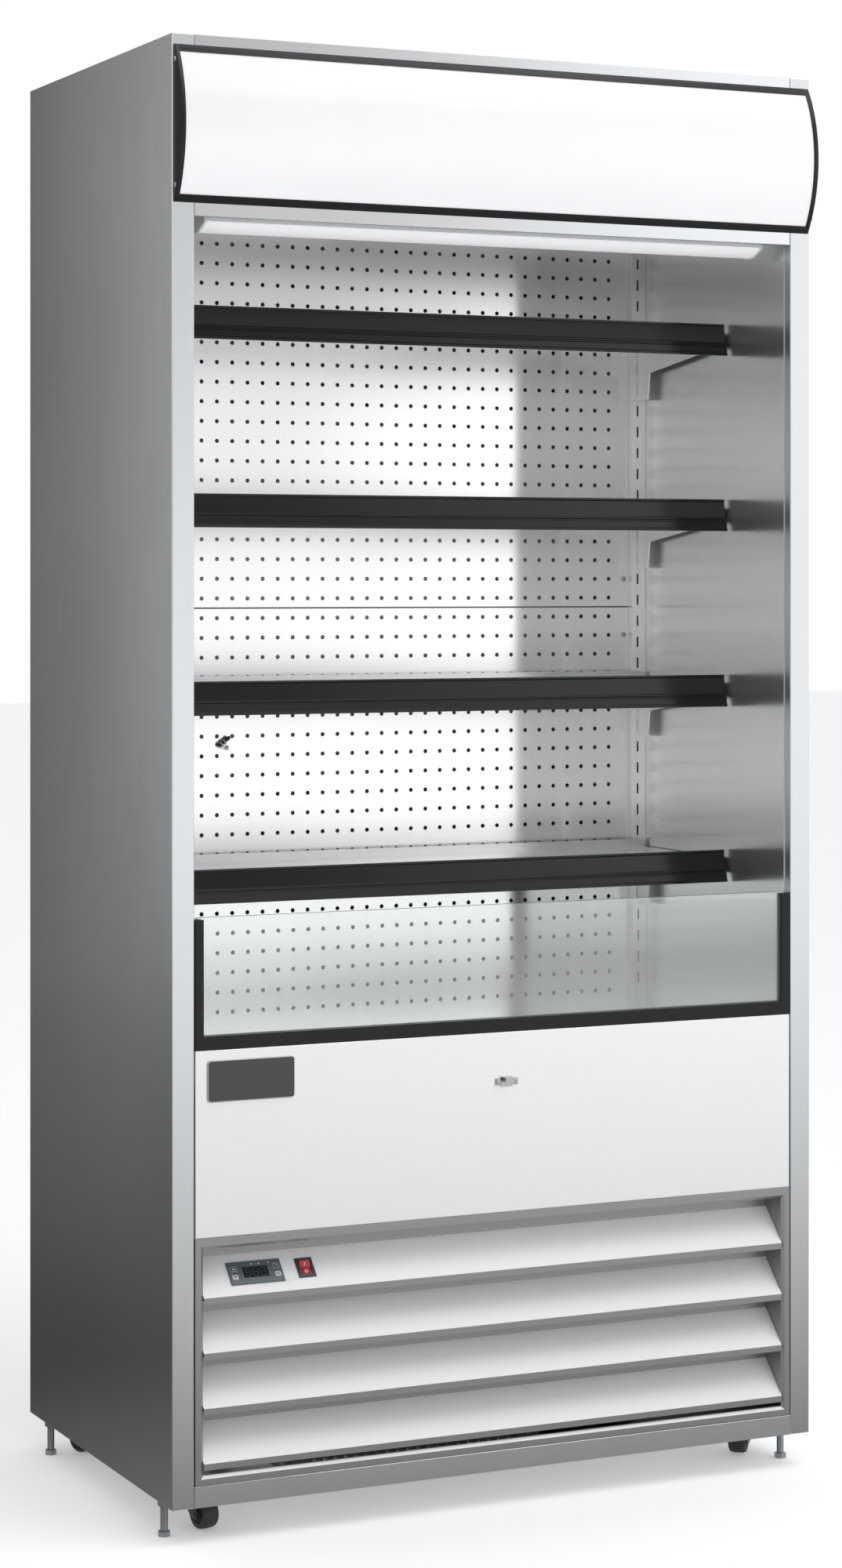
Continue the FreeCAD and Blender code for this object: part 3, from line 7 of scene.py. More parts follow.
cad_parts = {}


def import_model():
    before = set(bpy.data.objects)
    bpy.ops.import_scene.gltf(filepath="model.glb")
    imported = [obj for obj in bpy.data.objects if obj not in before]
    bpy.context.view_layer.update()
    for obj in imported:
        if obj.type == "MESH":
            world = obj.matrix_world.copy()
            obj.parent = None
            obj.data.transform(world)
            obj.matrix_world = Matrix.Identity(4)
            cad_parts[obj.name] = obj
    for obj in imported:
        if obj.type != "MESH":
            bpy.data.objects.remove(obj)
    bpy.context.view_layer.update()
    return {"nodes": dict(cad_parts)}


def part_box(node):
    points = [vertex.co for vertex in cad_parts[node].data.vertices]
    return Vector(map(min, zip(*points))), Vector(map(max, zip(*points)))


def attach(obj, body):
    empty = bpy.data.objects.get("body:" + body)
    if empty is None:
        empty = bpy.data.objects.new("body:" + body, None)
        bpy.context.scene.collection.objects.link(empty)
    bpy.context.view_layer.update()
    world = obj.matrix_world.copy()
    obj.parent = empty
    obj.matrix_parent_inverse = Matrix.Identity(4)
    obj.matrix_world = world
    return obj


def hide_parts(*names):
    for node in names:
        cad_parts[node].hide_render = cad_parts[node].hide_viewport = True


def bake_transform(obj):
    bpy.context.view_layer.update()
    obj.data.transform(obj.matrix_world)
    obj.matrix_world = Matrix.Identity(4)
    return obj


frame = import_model()

MM = 0.001
CABINET = "cabinet"


# ------------------------------------------------------------------ node helpers
def new_material(name):
    """An empty Principled material: returns material, node tree and shader."""
    mat = bpy.data.materials.new(name)
    mat.use_nodes = True
    tree = mat.node_tree
    tree.nodes.clear()
    out = tree.nodes.new("ShaderNodeOutputMaterial")
    shader = tree.nodes.new("ShaderNodeBsdfPrincipled")
    tree.links.new(shader.outputs["BSDF"], out.inputs["Surface"])
    return mat, tree, shader


def coordinates(tree, scale):
    """Object coordinates stretched by scale."""
    source = tree.nodes.new("ShaderNodeTexCoord")
    mapping = tree.nodes.new("ShaderNodeMapping")
    mapping.inputs["Scale"].default_value = scale
    tree.links.new(source.outputs["Object"], mapping.inputs["Vector"])
    return mapping.outputs["Vector"]


def noise(tree, vector, scale, detail=2.0, rough=0.5):
    """Noise, as a value about 0.5."""
    node = tree.nodes.new("ShaderNodeTexNoise")
    node.inputs["Scale"].default_value = scale
    node.inputs["Detail"].default_value = detail
    node.inputs["Roughness"].default_value = rough
    tree.links.new(vector, node.inputs["Vector"])
    return node.outputs["Fac"]


def spread(tree, value, low, high, from_low=0.0, from_high=1.0):
    """Map a value onto the range low to high."""
    node = tree.nodes.new("ShaderNodeMapRange")
    node.inputs["From Min"].default_value = from_low
    node.inputs["From Max"].default_value = from_high
    node.inputs["To Min"].default_value = low
    node.inputs["To Max"].default_value = high
    tree.links.new(value, node.inputs["Value"])
    return node.outputs["Result"]


def ramp(tree, value, stops):
    """Colour by value, from (value, colour) stops."""
    node = tree.nodes.new("ShaderNodeValToRGB")
    elements = node.color_ramp.elements
    while len(elements) < len(stops):
        elements.new(0.5)
    for element, (position, colour) in zip(elements, stops):
        element.position = position
        element.color = (*colour, 1.0)
    tree.links.new(value, node.inputs["Fac"])
    return node.outputs["Color"]


def bump(tree, shader, value, strength, distance):
    """Fine relief of a surface, its depth in metres."""
    node = tree.nodes.new("ShaderNodeBump")
    node.inputs["Strength"].default_value = strength
    node.inputs["Distance"].default_value = distance
    tree.links.new(value, node.inputs["Height"])
    tree.links.new(node.outputs["Normal"], shader.inputs["Normal"])


# Noise stretched along one axis, as the brushing of a sheet.
GRAIN = {"x": (1.5, 300.0, 300.0), "y": (300.0, 1.5, 300.0), "z": (300.0, 300.0, 1.5)}


def brushed_steel(name, colour, rough, grain, rough_swing=0.05, depth=0.00001, tint=0.03, stretch=0.75):
    """Metal sheet brushed along one axis, so that what it mirrors smears across the grain."""
    mat, tree, shader = new_material(name)
    lines = noise(tree, coordinates(tree, GRAIN[grain]), 3.0, 3.0, 0.6)
    cloud = noise(tree, coordinates(tree, (1.0, 1.0, 1.0)), 2.3, 2.0)
    low = tuple(c * (1.0 - tint) for c in colour)
    high = tuple(min(1.0, c * (1.0 + tint)) for c in colour)
    tree.links.new(ramp(tree, lines, [(0.3, low), (0.7, high)]), shader.inputs["Base Color"])
    mixed = tree.nodes.new("ShaderNodeMath")
    mixed.operation = "ADD"
    tree.links.new(spread(tree, lines, rough - rough_swing, rough + rough_swing), mixed.inputs[0])
    tree.links.new(spread(tree, cloud, -0.02, 0.02), mixed.inputs[1])
    tree.links.new(mixed.outputs[0], shader.inputs["Roughness"])
    shader.inputs["Metallic"].default_value = 1.0
    shader.inputs["Anisotropic"].default_value = stretch
    across = tree.nodes.new("ShaderNodeTangent")
    across.direction_type = "RADIAL"
    across.axis = "X" if grain == "x" else "Z"
    tree.links.new(across.outputs["Tangent"], shader.inputs["Tangent"])
    bump(tree, shader, lines, 0.25, depth)
    return mat


def plastic(name, colour, rough, grain_scale=900.0, depth=0.00003, specular=0.5):
    """Moulded plastic with a fine eggshell texture."""
    mat, tree, shader = new_material(name)
    grain = noise(tree, coordinates(tree, (1.0, 1.0, 1.0)), grain_scale, 2.0)
    low = tuple(c * 0.92 for c in colour)
    high = tuple(min(1.0, c * 1.06) for c in colour)
    tree.links.new(ramp(tree, grain, [(0.35, low), (0.65, high)]), shader.inputs["Base Color"])
    tree.links.new(spread(tree, grain, rough - 0.05, rough + 0.05), shader.inputs["Roughness"])
    shader.inputs["Specular IOR Level"].default_value = specular
    bump(tree, shader, grain, 0.2, depth)
    return mat


def paint(mat, *nodes):
    """Give a CAD node, or several, one material in every slot."""
    for node in nodes:
        obj = frame["nodes"][node]
        if not obj.material_slots:
            obj.data.materials.append(mat)
        for slot in obj.material_slots:
            slot.material = mat


def numbered(stem):
    """Names of the four shelves' nodes of one kind."""
    return ["%s_%d" % (stem, number) for number in range(1, 5)]


# ------------------------------------------------------------------ materials
outer_side = brushed_steel("steel_outer_side", (0.66, 0.68, 0.695), 0.30, "z")
outer_plain = brushed_steel("steel_outer_plain", (0.62, 0.635, 0.65), 0.25, "x", 0.02, 0.000004, 0.015, 0.4)
front_steel = brushed_steel("steel_front", (0.88, 0.885, 0.895), 0.36, "x", 0.02, 0.000004, 0.012)
liner_steel = brushed_steel("steel_liner", (0.91, 0.925, 0.93), 0.25, "z", 0.02, 0.000004, 0.03, 0.9)
duct_steel = brushed_steel("steel_duct", (0.92, 0.925, 0.93), 0.165, "x", 0.012, 0.000002, 0.02, 1.0)
shelf_steel = brushed_steel("steel_shelf", (0.78, 0.79, 0.80), 0.22, "x")
upright_steel = brushed_steel("steel_upright", (0.95, 0.955, 0.96), 0.42, "z")
zinc = brushed_steel("zinc_plated", (0.27, 0.28, 0.29), 0.3, "x", 0.08, 0.00001, 0.08)
galvanised = brushed_steel("galvanised", (0.50, 0.52, 0.54), 0.45, "x", 0.1, 0.00002, 0.1)
screw_steel = brushed_steel("screw_steel", (0.46, 0.47, 0.48), 0.2, "x", 0.05, 0.00001)
aluminium = brushed_steel("aluminium", (0.80, 0.81, 0.82), 0.35, "x")
copper = brushed_steel("copper_tube", (0.72, 0.40, 0.26), 0.3, "z", 0.06, 0.00001, 0.08)
rail_black = plastic("rail_black", (0.003, 0.0035, 0.004), 0.16, 1400.0, 0.000004, 0.36)
profile_black = plastic("profile_black", (0.008, 0.0095, 0.011), 0.3, 1200.0, 0.00001, 0.26)
castor_black = plastic("castor_black", (0.018, 0.018, 0.02), 0.4)
tyre_black = plastic("castor_tyre", (0.02, 0.02, 0.022), 0.55)
fan_black = plastic("fan_black", (0.025, 0.025, 0.028), 0.5)
enamel_black = plastic("enamel_black", (0.015, 0.015, 0.016), 0.25, 300.0, 0.00004)
lamp_white = plastic("lamp_white", (0.85, 0.86, 0.87), 0.35)
badge_dark = plastic("badge_dark", (0.045, 0.043, 0.045), 0.38, 1500.0, 0.00002)
key_grey = plastic("key_grey", (0.10, 0.105, 0.115), 0.45, 1500.0, 0.00002)
rocker_red = plastic("rocker_red", (0.42, 0.004, 0.008), 0.2, 900.0, 0.00001, 0.6)
foam_cream = plastic("foam_cream", (0.62, 0.55, 0.36), 0.85, 260.0, 0.0003)
comb_grey = plastic("honeycomb_grey", (0.16, 0.165, 0.17), 0.5)
probe_dark = plastic("probe_dark", (0.03, 0.03, 0.033), 0.4)


def louvre_material():
    """Satin grille with painted light and shade: faces turned up are painted paler and less metallic, upright
    edges and the frame are painted darker.
    """
    mat, tree, shader = new_material("grille_satin")
    lines = noise(tree, coordinates(tree, GRAIN["x"]), 3.0, 3.0, 0.6)
    facing = tree.nodes.new("ShaderNodeNewGeometry")
    parts = tree.nodes.new("ShaderNodeSeparateXYZ")
    tree.links.new(facing.outputs["True Normal"], parts.inputs[0])
    # Painted light and shade: how far a face turns up sets its colour and metallic, with real grain streaks
    # added to the colour.
    painted_light_by_facing = spread(tree, parts.outputs["Z"], 0.0, 1.0, 0.35, 0.6)
    shade = spread(tree, lines, -0.05, 0.05)
    total = tree.nodes.new("ShaderNodeMath")
    tree.links.new(painted_light_by_facing, total.inputs[0])
    tree.links.new(shade, total.inputs[1])
    colour = ramp(tree, total.outputs[0], [(0.05, (0.34, 0.345, 0.35)), (0.95, (0.86, 0.86, 0.86))])
    tree.links.new(colour, shader.inputs["Base Color"])
    tree.links.new(spread(tree, painted_light_by_facing, 0.95, 0.0), shader.inputs["Metallic"])
    shader.inputs["Roughness"].default_value = 0.42
    bump(tree, shader, lines, 0.2, 0.00001)
    return mat


def cloth_material():
    """Woven curtain cloth, its threads as two crossed waves."""
    threads = 420.0
    mat, tree, shader = new_material("curtain_cloth")
    weave = tree.nodes.new("ShaderNodeTexWave")
    weave.inputs["Scale"].default_value = threads
    weave.inputs["Distortion"].default_value = 0.4
    tree.links.new(coordinates(tree, (1.0, 0.0, 0.0)), weave.inputs["Vector"])
    cross = tree.nodes.new("ShaderNodeTexWave")
    cross.bands_direction = "Z"
    cross.inputs["Scale"].default_value = threads
    tree.links.new(coordinates(tree, (0.0, 0.0, 1.0)), cross.inputs["Vector"])
    both = tree.nodes.new("ShaderNodeMath")
    both.operation = "MULTIPLY"
    tree.links.new(weave.outputs["Fac"], both.inputs[0])
    tree.links.new(cross.outputs["Fac"], both.inputs[1])
    colours = [(0.2, (0.50, 0.53, 0.56)), (0.8, (0.66, 0.69, 0.72))]
    tree.links.new(ramp(tree, both.outputs[0], colours), shader.inputs["Base Color"])
    shader.inputs["Roughness"].default_value = 0.7
    shader.inputs["Sheen Weight"].default_value = 0.2
    bump(tree, shader, both.outputs[0], 0.4, 0.0001)
    return mat


def glass_material():
    """Clear pane, slightly smeared."""
    mat, tree, shader = new_material("pane_glass")
    shader.inputs["Roughness"].default_value = 0.0
    shader.inputs["IOR"].default_value = 1.62
    shader.inputs["Transmission Weight"].default_value = 0.93
    smear = noise(tree, coordinates(tree, (1.0, 1.0, 1.0)), 6.0, 3.0)
    tints = [(0.3, (0.955, 0.975, 0.97)), (0.7, (0.975, 0.985, 0.98))]
    tree.links.new(ramp(tree, smear, tints), shader.inputs["Base Color"])
    return mat


def control_material():
    """Controller face in dark blue-grey, and the black bezel of the rocker switch to its right."""
    mat, tree, shader = new_material("control_face")
    where = coordinates(tree, (1.0, 1.0, 1.0))
    parts = tree.nodes.new("ShaderNodeSeparateXYZ")
    tree.links.new(where, parts.inputs[0])
    grain = noise(tree, where, 1500.0, 2.0)
    between = -0.321
    place = spread(tree, parts.outputs["X"], 0.0, 0.9, between - 0.002, between + 0.002)
    total = tree.nodes.new("ShaderNodeMath")
    tree.links.new(place, total.inputs[0])
    tree.links.new(spread(tree, grain, 0.0, 0.1), total.inputs[1])
    stops = [
        (0.0, (0.078, 0.104, 0.116)), (0.1, (0.092, 0.12, 0.132)),
        (0.9, (0.022, 0.023, 0.025)), (1.0, (0.03, 0.031, 0.033)),
    ]
    tree.links.new(ramp(tree, total.outputs[0], stops), shader.inputs["Base Color"])
    tree.links.new(spread(tree, grain, 0.3, 0.4), shader.inputs["Roughness"])
    bump(tree, shader, grain, 0.2, 0.00002)
    return mat


control_face = control_material()
curtain_grey = cloth_material()
louvre_steel = louvre_material()
pane_glass = glass_material()

paint(outer_side, "side_panel_left", "side_panel_right")
paint(outer_plain, "canopy_panel", "top_panel", "base_frame")
paint(galvanised, "back_panel", "fan_mounts")
paint(front_steel, "front_panel")
paint(liner_steel, "inner_liner")
paint(duct_steel, "duct_panel_upper", "duct_panel_lower")
paint(shelf_steel, "deck_tray", *numbered("shelf_plate"))
paint(upright_steel, "shelf_supports")
paint(rail_black, *numbered("ticket_rail"))
paint(louvre_steel, "louvre_grille")
paint(profile_black, "sign_frame", "glass_frame")
paint(lamp_white, "lamp")
paint(pane_glass, "front_glass")
paint(badge_dark, "badge_plate")
paint(control_face, "control_housings")
paint(key_grey, "key_up", "key_down", "key_set", "key_defrost")
paint(rocker_red, "switch_rocker")
paint(foam_cream, "foam_insulation")
paint(comb_grey, "air_honeycomb")
paint(aluminium, "condenser_coil", "evaporator_coil", "curtain_bar")
paint(copper, "refrigerant_pipes")
paint(enamel_black, "compressor")
paint(fan_black, "condenser_fan", "evaporator_fan_left", "evaporator_fan_right")
paint(probe_dark, "sensor_probe")
paint(screw_steel, "fasteners")
paint(curtain_grey, "curtain_cloth", "curtain_roller")
for corner in ("front_left", "front_right", "rear_left", "rear_right"):
    paint(castor_black, "castor_fork_" + corner)
    paint(tyre_black, "castor_wheel_" + corner)
    paint(zinc, "levelling_foot_" + corner)


# ------------------------------------------------------------------ mesh helpers
def add_piece(name, verts, faces, mat, body=CABINET, smooth=False):
    """A mesh piece, in metres, that rides on a body."""
    mesh = bpy.data.meshes.new(name)
    mesh.from_pydata([tuple(v) for v in verts], [], faces)
    mesh.validate()
    work = bmesh.new()
    work.from_mesh(mesh)
    bmesh.ops.recalc_face_normals(work, faces=work.faces)
    work.to_mesh(mesh)
    work.free()
    mesh.materials.append(mat)
    if smooth:
        for face in mesh.polygons:
            face.use_smooth = True
    obj = bpy.data.objects.new(name, mesh)
    bpy.context.scene.collection.objects.link(obj)
    if body:
        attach(obj, body)
    return obj


def bevel(obj, width, segments=2, angle=30.0):
    """Rounded edges of a piece, with smooth shading between them."""
    change = obj.modifiers.new("bevel", "BEVEL")
    change.width = width
    change.segments = segments
    change.limit_method = "ANGLE"
    change.angle_limit = math.radians(angle)
    change.harden_normals = True
    for face in obj.data.polygons:
        face.use_smooth = True


def extruded(name, outline, low, high, frame_matrix, mat, body=CABINET):
    """A plate drawn as (u, v) in mm, from low to high along the frame's third axis."""
    count = len(outline)
    verts = [frame_matrix @ Vector((u * MM, v * MM, low * MM)) for u, v in outline]
    verts += [frame_matrix @ Vector((u * MM, v * MM, high * MM)) for u, v in outline]
    faces = [tuple(range(count)), tuple(range(count, 2 * count))]
    faces += [(i, (i + 1) % count, count + (i + 1) % count, count + i) for i in range(count)]
    return add_piece(name, verts, faces, mat, body)


def rounded_rectangle(width, height, radius, steps=5, at=(0.0, 0.0)):
    """Outline of a rectangle with round corners about a centre."""
    points = []
    for quarter, (sx, sy) in enumerate(((1, 1), (-1, 1), (-1, -1), (1, -1))):
        cx = at[0] + sx * (width / 2 - radius)
        cy = at[1] + sy * (height / 2 - radius)
        for step in range(steps + 1):
            angle = math.radians(90 * quarter + 90 * step / steps)
            points.append((cx + radius * math.cos(angle), cy + radius * math.sin(angle)))
    return points


def ring_plate(name, outer, inner, low, high, frame_matrix, mat, body=CABINET):
    """A plate between two outlines with the same number of points."""
    count = len(outer)
    rows = []
    for outline, level in ((outer, low), (inner, low), (inner, high), (outer, high)):
        rows.append([frame_matrix @ Vector((u * MM, v * MM, level * MM)) for u, v in outline])
    verts = [point for row in rows for point in row]
    faces = []
    for row in range(4):
        following = (row + 1) % 4
        for i in range(count):
            j = (i + 1) % count
            faces.append((row * count + i, row * count + j, following * count + j, following * count + i))
    return add_piece(name, verts, faces, mat, body)


def lathe(name, profile, centre, axis, mat, body=CABINET, segments=48):
    """Revolve (radius, height) points in mm about an axis through centre (m)."""
    turn = Vector(axis).to_track_quat("Z", "X").to_matrix()
    verts = []
    for radius, height in profile:
        for step in range(segments):
            angle = 2 * math.pi * step / segments
            local = Vector((radius * math.cos(angle), radius * math.sin(angle), height)) * MM
            verts.append(Vector(centre) + turn @ local)
    faces = []
    rows = len(profile)
    for row in range(rows - 1):
        for step in range(segments):
            following = (step + 1) % segments
            faces.append((
                row * segments + step, row * segments + following,
                (row + 1) * segments + following, (row + 1) * segments + step,
            ))
    if profile[0][0] > 0.001:
        faces.append(tuple(range(segments)))
    if profile[-1][0] > 0.001:
        faces.append(tuple(range((rows - 1) * segments, rows * segments)))
    return add_piece(name, verts, faces, mat, body, smooth=True)


ALONG_X = Matrix(((0.0, 0.0, 1.0), (1.0, 0.0, 0.0), (0.0, 1.0, 0.0))).to_4x4()


def profile_x(name, outline, x_low, x_high, mat, body=CABINET):
    """Extrude a (y, z) outline in mm along X."""
    return extruded(name, outline, x_low, x_high, ALONG_X, mat, body)


def upright_face(x, y, z):
    """Local frame, at a place in metres, of a piece on an upright face: third axis to the front."""
    return Matrix.Translation(Vector((x, y, z))) @ Matrix.Rotation(math.radians(90), 4, "X")


def soften(width, *nodes):
    """Folded-edge radius of CAD sheets, so that their edges catch the light."""
    for node in nodes:
        obj = frame["nodes"][node]
        join = obj.modifiers.new("join", "WELD")
        join.merge_threshold = 0.00002
        change = obj.modifiers.new("fold", "BEVEL")
        change.width = width
        change.segments = 2
        change.limit_method = "ANGLE"
        change.angle_limit = math.radians(32.0)
        change.harden_normals = True


soften(0.0009, "side_panel_left", "side_panel_right", "canopy_panel", "base_frame", "front_panel",
       "top_panel")
soften(0.0005, "louvre_grille", "glass_frame", "sign_frame", *numbered("shelf_plate"))
soften(0.0004, *numbered("ticket_rail"))


# ------------------------------------------------------------------ controls on the top blade
FRONT = -285.9  # plane of the cabinet's front, in mm
BLADE_RISE = 47.0
BLADE_RUN = 46.0
BLADE_ANGLE = math.atan2(BLADE_RISE, BLADE_RUN)
BLADE_FOOT = 332.1
CONTROL_REACH = 33.5
CONTROLLER_X = -369.5
ROCKER_X = -295.5
CONTROLLER_FACE = 2.5
DISPLAY_FACE = 2.3
KEY_FACE = 3.3
INK = 0.04


def blade_frame(x):
    """Local frame of a control: u to the right, v up the blade, third axis outward."""
    y = FRONT + 0.3 + CONTROL_REACH * math.cos(BLADE_ANGLE)
    z = BLADE_FOOT + CONTROL_REACH * math.sin(BLADE_ANGLE)
    return Matrix.Translation(Vector((x, y, z)) * MM) @ Matrix.Rotation(BLADE_ANGLE, 4, "X")


def simple(name, colour, rough, metallic=0.0):
    """Small flat print or glass: one colour with a faint mottling."""
    mat, tree, shader = new_material(name)
    grain = noise(tree, coordinates(tree, (1.0, 1.0, 1.0)), 2500.0, 1.0)
    low = tuple(c * 0.9 for c in colour)
    tree.links.new(ramp(tree, grain, [(0.3, low), (0.7, colour)]), shader.inputs["Base Color"])
    shader.inputs["Roughness"].default_value = rough
    shader.inputs["Metallic"].default_value = metallic
    return mat


print_white = simple("print_white", (0.82, 0.84, 0.85), 0.4)
display_glass = simple("display_glass", (0.008, 0.009, 0.010), 0.12)
segment_grey = simple("segment_grey", (0.055, 0.062, 0.068), 0.3)
key_pale = simple("key_pale", (0.56, 0.58, 0.57), 0.45)
key_dark = simple("key_dark", (0.035, 0.037, 0.04), 0.4)
rim_grey = simple("rim_grey", (0.50, 0.505, 0.51), 0.35, 0.6)


def digit(number, centre_u, at):
    """Seven unlit segments of one display digit."""
    wide = 8.4
    tall = 13.0
    bar = 1.15
    gap = 0.35
    half_w = (wide - bar) / 2
    half_h = (tall - bar) / 2
    low = DISPLAY_FACE + 0.02
    high = DISPLAY_FACE + 0.08
    verticals = [(-half_w, half_h / 2), (half_w, half_h / 2), (-half_w, -half_h / 2), (half_w, -half_h / 2)]
    place = 0
    for side, v in verticals:
        u = centre_u + side
        end = (half_h - 2 * gap) / 2
        outline = [
            (u - bar / 2, v - end + bar / 2), (u, v - end), (u + bar / 2, v - end + bar / 2),
            (u + bar / 2, v + end - bar / 2), (u, v + end), (u - bar / 2, v + end - bar / 2),
        ]
        extruded("digit_%d_bar_%d" % (number, place), outline, low, high, at, segment_grey)
        place += 1
    for v in (half_h, 0.0, -half_h):
        end = half_w - gap
        outline = [
            (centre_u - end, v), (centre_u - end + bar / 2, v - bar / 2),
            (centre_u + end - bar / 2, v - bar / 2), (centre_u + end, v),
            (centre_u + end - bar / 2, v + bar / 2), (centre_u - end + bar / 2, v + bar / 2),
        ]
        extruded("digit_%d_bar_%d" % (number, place), outline, low, high, at, segment_grey)
        place += 1


def circle_mark(name, outer, inner, at_uv, level, thick, at, mat, body=CABINET):
    """Printed ring of two diameters."""
    ring_plate(name, rounded_rectangle(outer[0], outer[0], outer[1], at=at_uv),
               rounded_rectangle(inner[0], inner[0], inner[1], at=at_uv), level, level + thick, at, mat, body)


def star_mark(number, centre, at):
    """Printed star of three crossed strokes over the display."""
    reach = 1.7
    half = 0.22
    for turn in range(3):
        angle = math.radians(60 * turn + 30 * number)
        along = Vector((math.cos(angle), math.sin(angle))) * reach
        side = Vector((-math.sin(angle), math.cos(angle))) * half
        corners = [along + side, side - along, -along - side, along - side]
        outline = [(centre[0] + corner.x, centre[1] + corner.y) for corner in corners]
        extruded("lamp_mark_%d_%d" % (number, turn), outline, CONTROLLER_FACE, CONTROLLER_FACE + INK, at,
                 print_white)


def controller_face():
    """Display with three unlit digits, marks over it, and the print on the four keys."""
    at = blade_frame(CONTROLLER_X)
    window = rounded_rectangle(36.4, 16.4, 0.6)
    glass = extruded("display_glass", window, 1.92, DISPLAY_FACE, at, display_glass)
    bevel(glass, 0.00008)
    for number, centre_u in enumerate((-11.3, 0.0, 11.3)):
        digit(number, centre_u, at)
    keys = {
        "key_up": (-31.5, 6.5, 1), "key_down": (-31.5, -6.5, -1),
        "key_set": (31.5, 6.5, 0), "key_defrost": (31.5, -6.5, 0),
    }
    for name, (u, v, arrow) in keys.items():
        dark = v > 0
        paint(key_dark if dark else key_pale, name)
        mark = print_white if dark else key_dark
        if arrow:
            outline = [(u - 2.0, v - 1.5 * arrow), (u + 2.0, v - 1.5 * arrow), (u, v + 1.7 * arrow)]
            extruded(name + "_arrow", outline, KEY_FACE, KEY_FACE + INK, at, mark, name)
        elif dark:
            circle_mark(name + "_drop", (3.4, 1.6), (2.4, 1.1), (u, v), KEY_FACE, INK, at, mark, name)
        else:
            for step in (-1.2, 0.0, 1.2):
                outline = rounded_rectangle(3.8, 0.55, 0.25, 3, at=(u, v + step))
                line = name + "_line_%d" % round(step + 2)
                extruded(line, outline, KEY_FACE, KEY_FACE + INK, at, mark, name)
        ring_plate(name + "_frame", rounded_rectangle(8.6, 7.6, 1.2, at=(u, v)),
                   rounded_rectangle(7.7, 6.7, 0.9, at=(u, v)), CONTROLLER_FACE, CONTROLLER_FACE + 0.06,
                   at, print_white)
    marks_v = 12.6
    for number, u in enumerate((-3.5, 7.5)):
        star_mark(number, (u, marks_v), at)
    circle_mark("degree_mark", (2.2, 1.05), (1.3, 0.6), (22.0, marks_v), CONTROLLER_FACE, INK, at,
                print_white)


def rocker_marks():
    """Stroke and ring on the two halves of the tilted rocker."""
    tilt = math.radians(8.0)
    slope = math.atan2(1.4, 10.5)
    thick = 0.14
    dip = Matrix.Translation(Vector((0.0, 0.0, 1.2)) * MM)
    base = blade_frame(ROCKER_X) @ Matrix.Rotation(tilt, 4, "X") @ dip
    upper = base @ Matrix.Rotation(slope, 4, "X")
    lower = base @ Matrix.Rotation(-slope, 4, "X")
    stroke = rounded_rectangle(0.9, 4.6, 0.4, 3, at=(0.0, 5.4))
    extruded("rocker_stroke", stroke, 0.0, thick, upper, print_white, "switch_rocker")
    circle_mark("rocker_ring", (5.0, 2.45), (3.2, 1.55), (0.0, -5.6), 0.0, thick, lower, print_white,
                "switch_rocker")


controller_face()
rocker_marks()


# ------------------------------------------------------------------ badge plate
def badge():
    """Bare dark plate in a thin metal rim."""
    low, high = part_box("badge_plate")
    centre = (low + high) / 2
    at = upright_face(centre.x, high.y, centre.z)
    width = (high.x - low.x) / MM
    height = (high.z - low.z) / MM
    rim_width = 1.3
    rim = extruded("badge_rim", rounded_rectangle(width, height, 5.0), 0.0, 2.5, at, rim_grey)
    bevel(rim, 0.0008)
    inside = rounded_rectangle(width - 2 * rim_width, height - 2 * rim_width, 4.0)
    face = extruded("badge_face", inside, 2.3, 3.0, at, badge_dark)
    bevel(face, 0.0004)
    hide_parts("badge_plate")


badge()


# ------------------------------------------------------------------ feet and wheels
def threads(corner):
    """Rolled thread round the rod of a levelling foot."""
    low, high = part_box("levelling_foot_" + corner)
    centre_x = (low.x + high.x) / 2
    centre_y = (low.y + high.y) / 2
    pitch = 1.5
    margin = 0.8
    start = 7.6
    end = high.z / MM - margin
    steps = 20
    turns = int((end - start) / pitch) - 1
    profile = [(4.9, -0.7), (5.0, -0.42), (5.42, -0.08), (5.42, 0.08), (5.0, 0.42), (4.9, 0.7)]
    verts = []
    for step in range(turns * steps + 1):
        angle = 2 * math.pi * step / steps
        z = start + margin + pitch * step / steps
        for radius, height in profile:
            verts.append((
                centre_x + radius * MM * math.cos(angle),
                centre_y + radius * MM * math.sin(angle),
                (z + height) * MM,
            ))
    count = len(profile)
    faces = []
    for step in range(turns * steps):
        for i in range(count - 1):
            a = step * count + i
            faces.append((a, a + 1, a + count + 1, a + count))
    add_piece("foot_thread_" + corner, verts, faces, zinc, "foot_" + corner, smooth=True)


def castor_wheel(corner, place, heading):
    """Twin-shouldered tyre with a recessed hub."""
    turn = math.radians(heading)
    trail = 22.0
    axle_height = 22.5
    ahead = Vector((math.cos(turn), math.sin(turn), 0.0))
    centre = (Vector((*place, axle_height)) + ahead * trail) * MM
    axis = (-math.sin(turn), math.cos(turn), 0.0)
    half = 13.0
    tyre = [
        (13.6, -half + 1.6), (15.4, -half + 0.6), (17.0, -half), (19.0, -half + 1.0), (20.3, -half + 3.0),
        (20.9, -half + 6.0), (21.0, 0.0), (20.9, half - 6.0), (20.3, half - 3.0), (19.0, half - 1.0),
        (17.0, half), (15.4, half - 0.6), (13.6, half - 1.6), (13.6, 0.0), (13.6, -half + 1.6),
    ]
    hub = [
        (3.05, -half + 0.4), (6.2, -half + 0.4), (6.6, -half + 1.0), (6.9, -half + 3.2), (12.4, -half + 3.6),
        (13.2, -half + 1.8), (13.7, -half + 1.8), (13.7, half - 1.8), (13.2, half - 1.8), (12.4, half - 3.6),
        (6.9, half - 3.2), (6.6, half - 1.0), (6.2, half - 0.4), (3.05, half - 0.4), (3.05, -half + 0.4),
    ]
    node = "castor_wheel_" + corner
    wheel = lathe("tyre_" + corner, tyre, centre, axis, tyre_black, node)
    lathe("hub_" + corner, hub, centre, axis, castor_black, node)
    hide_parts(node)


CASTOR_SIDE = 430.0
CASTOR_FRONT = FRONT + 92.0
CASTOR_REAR = FRONT + 508.0
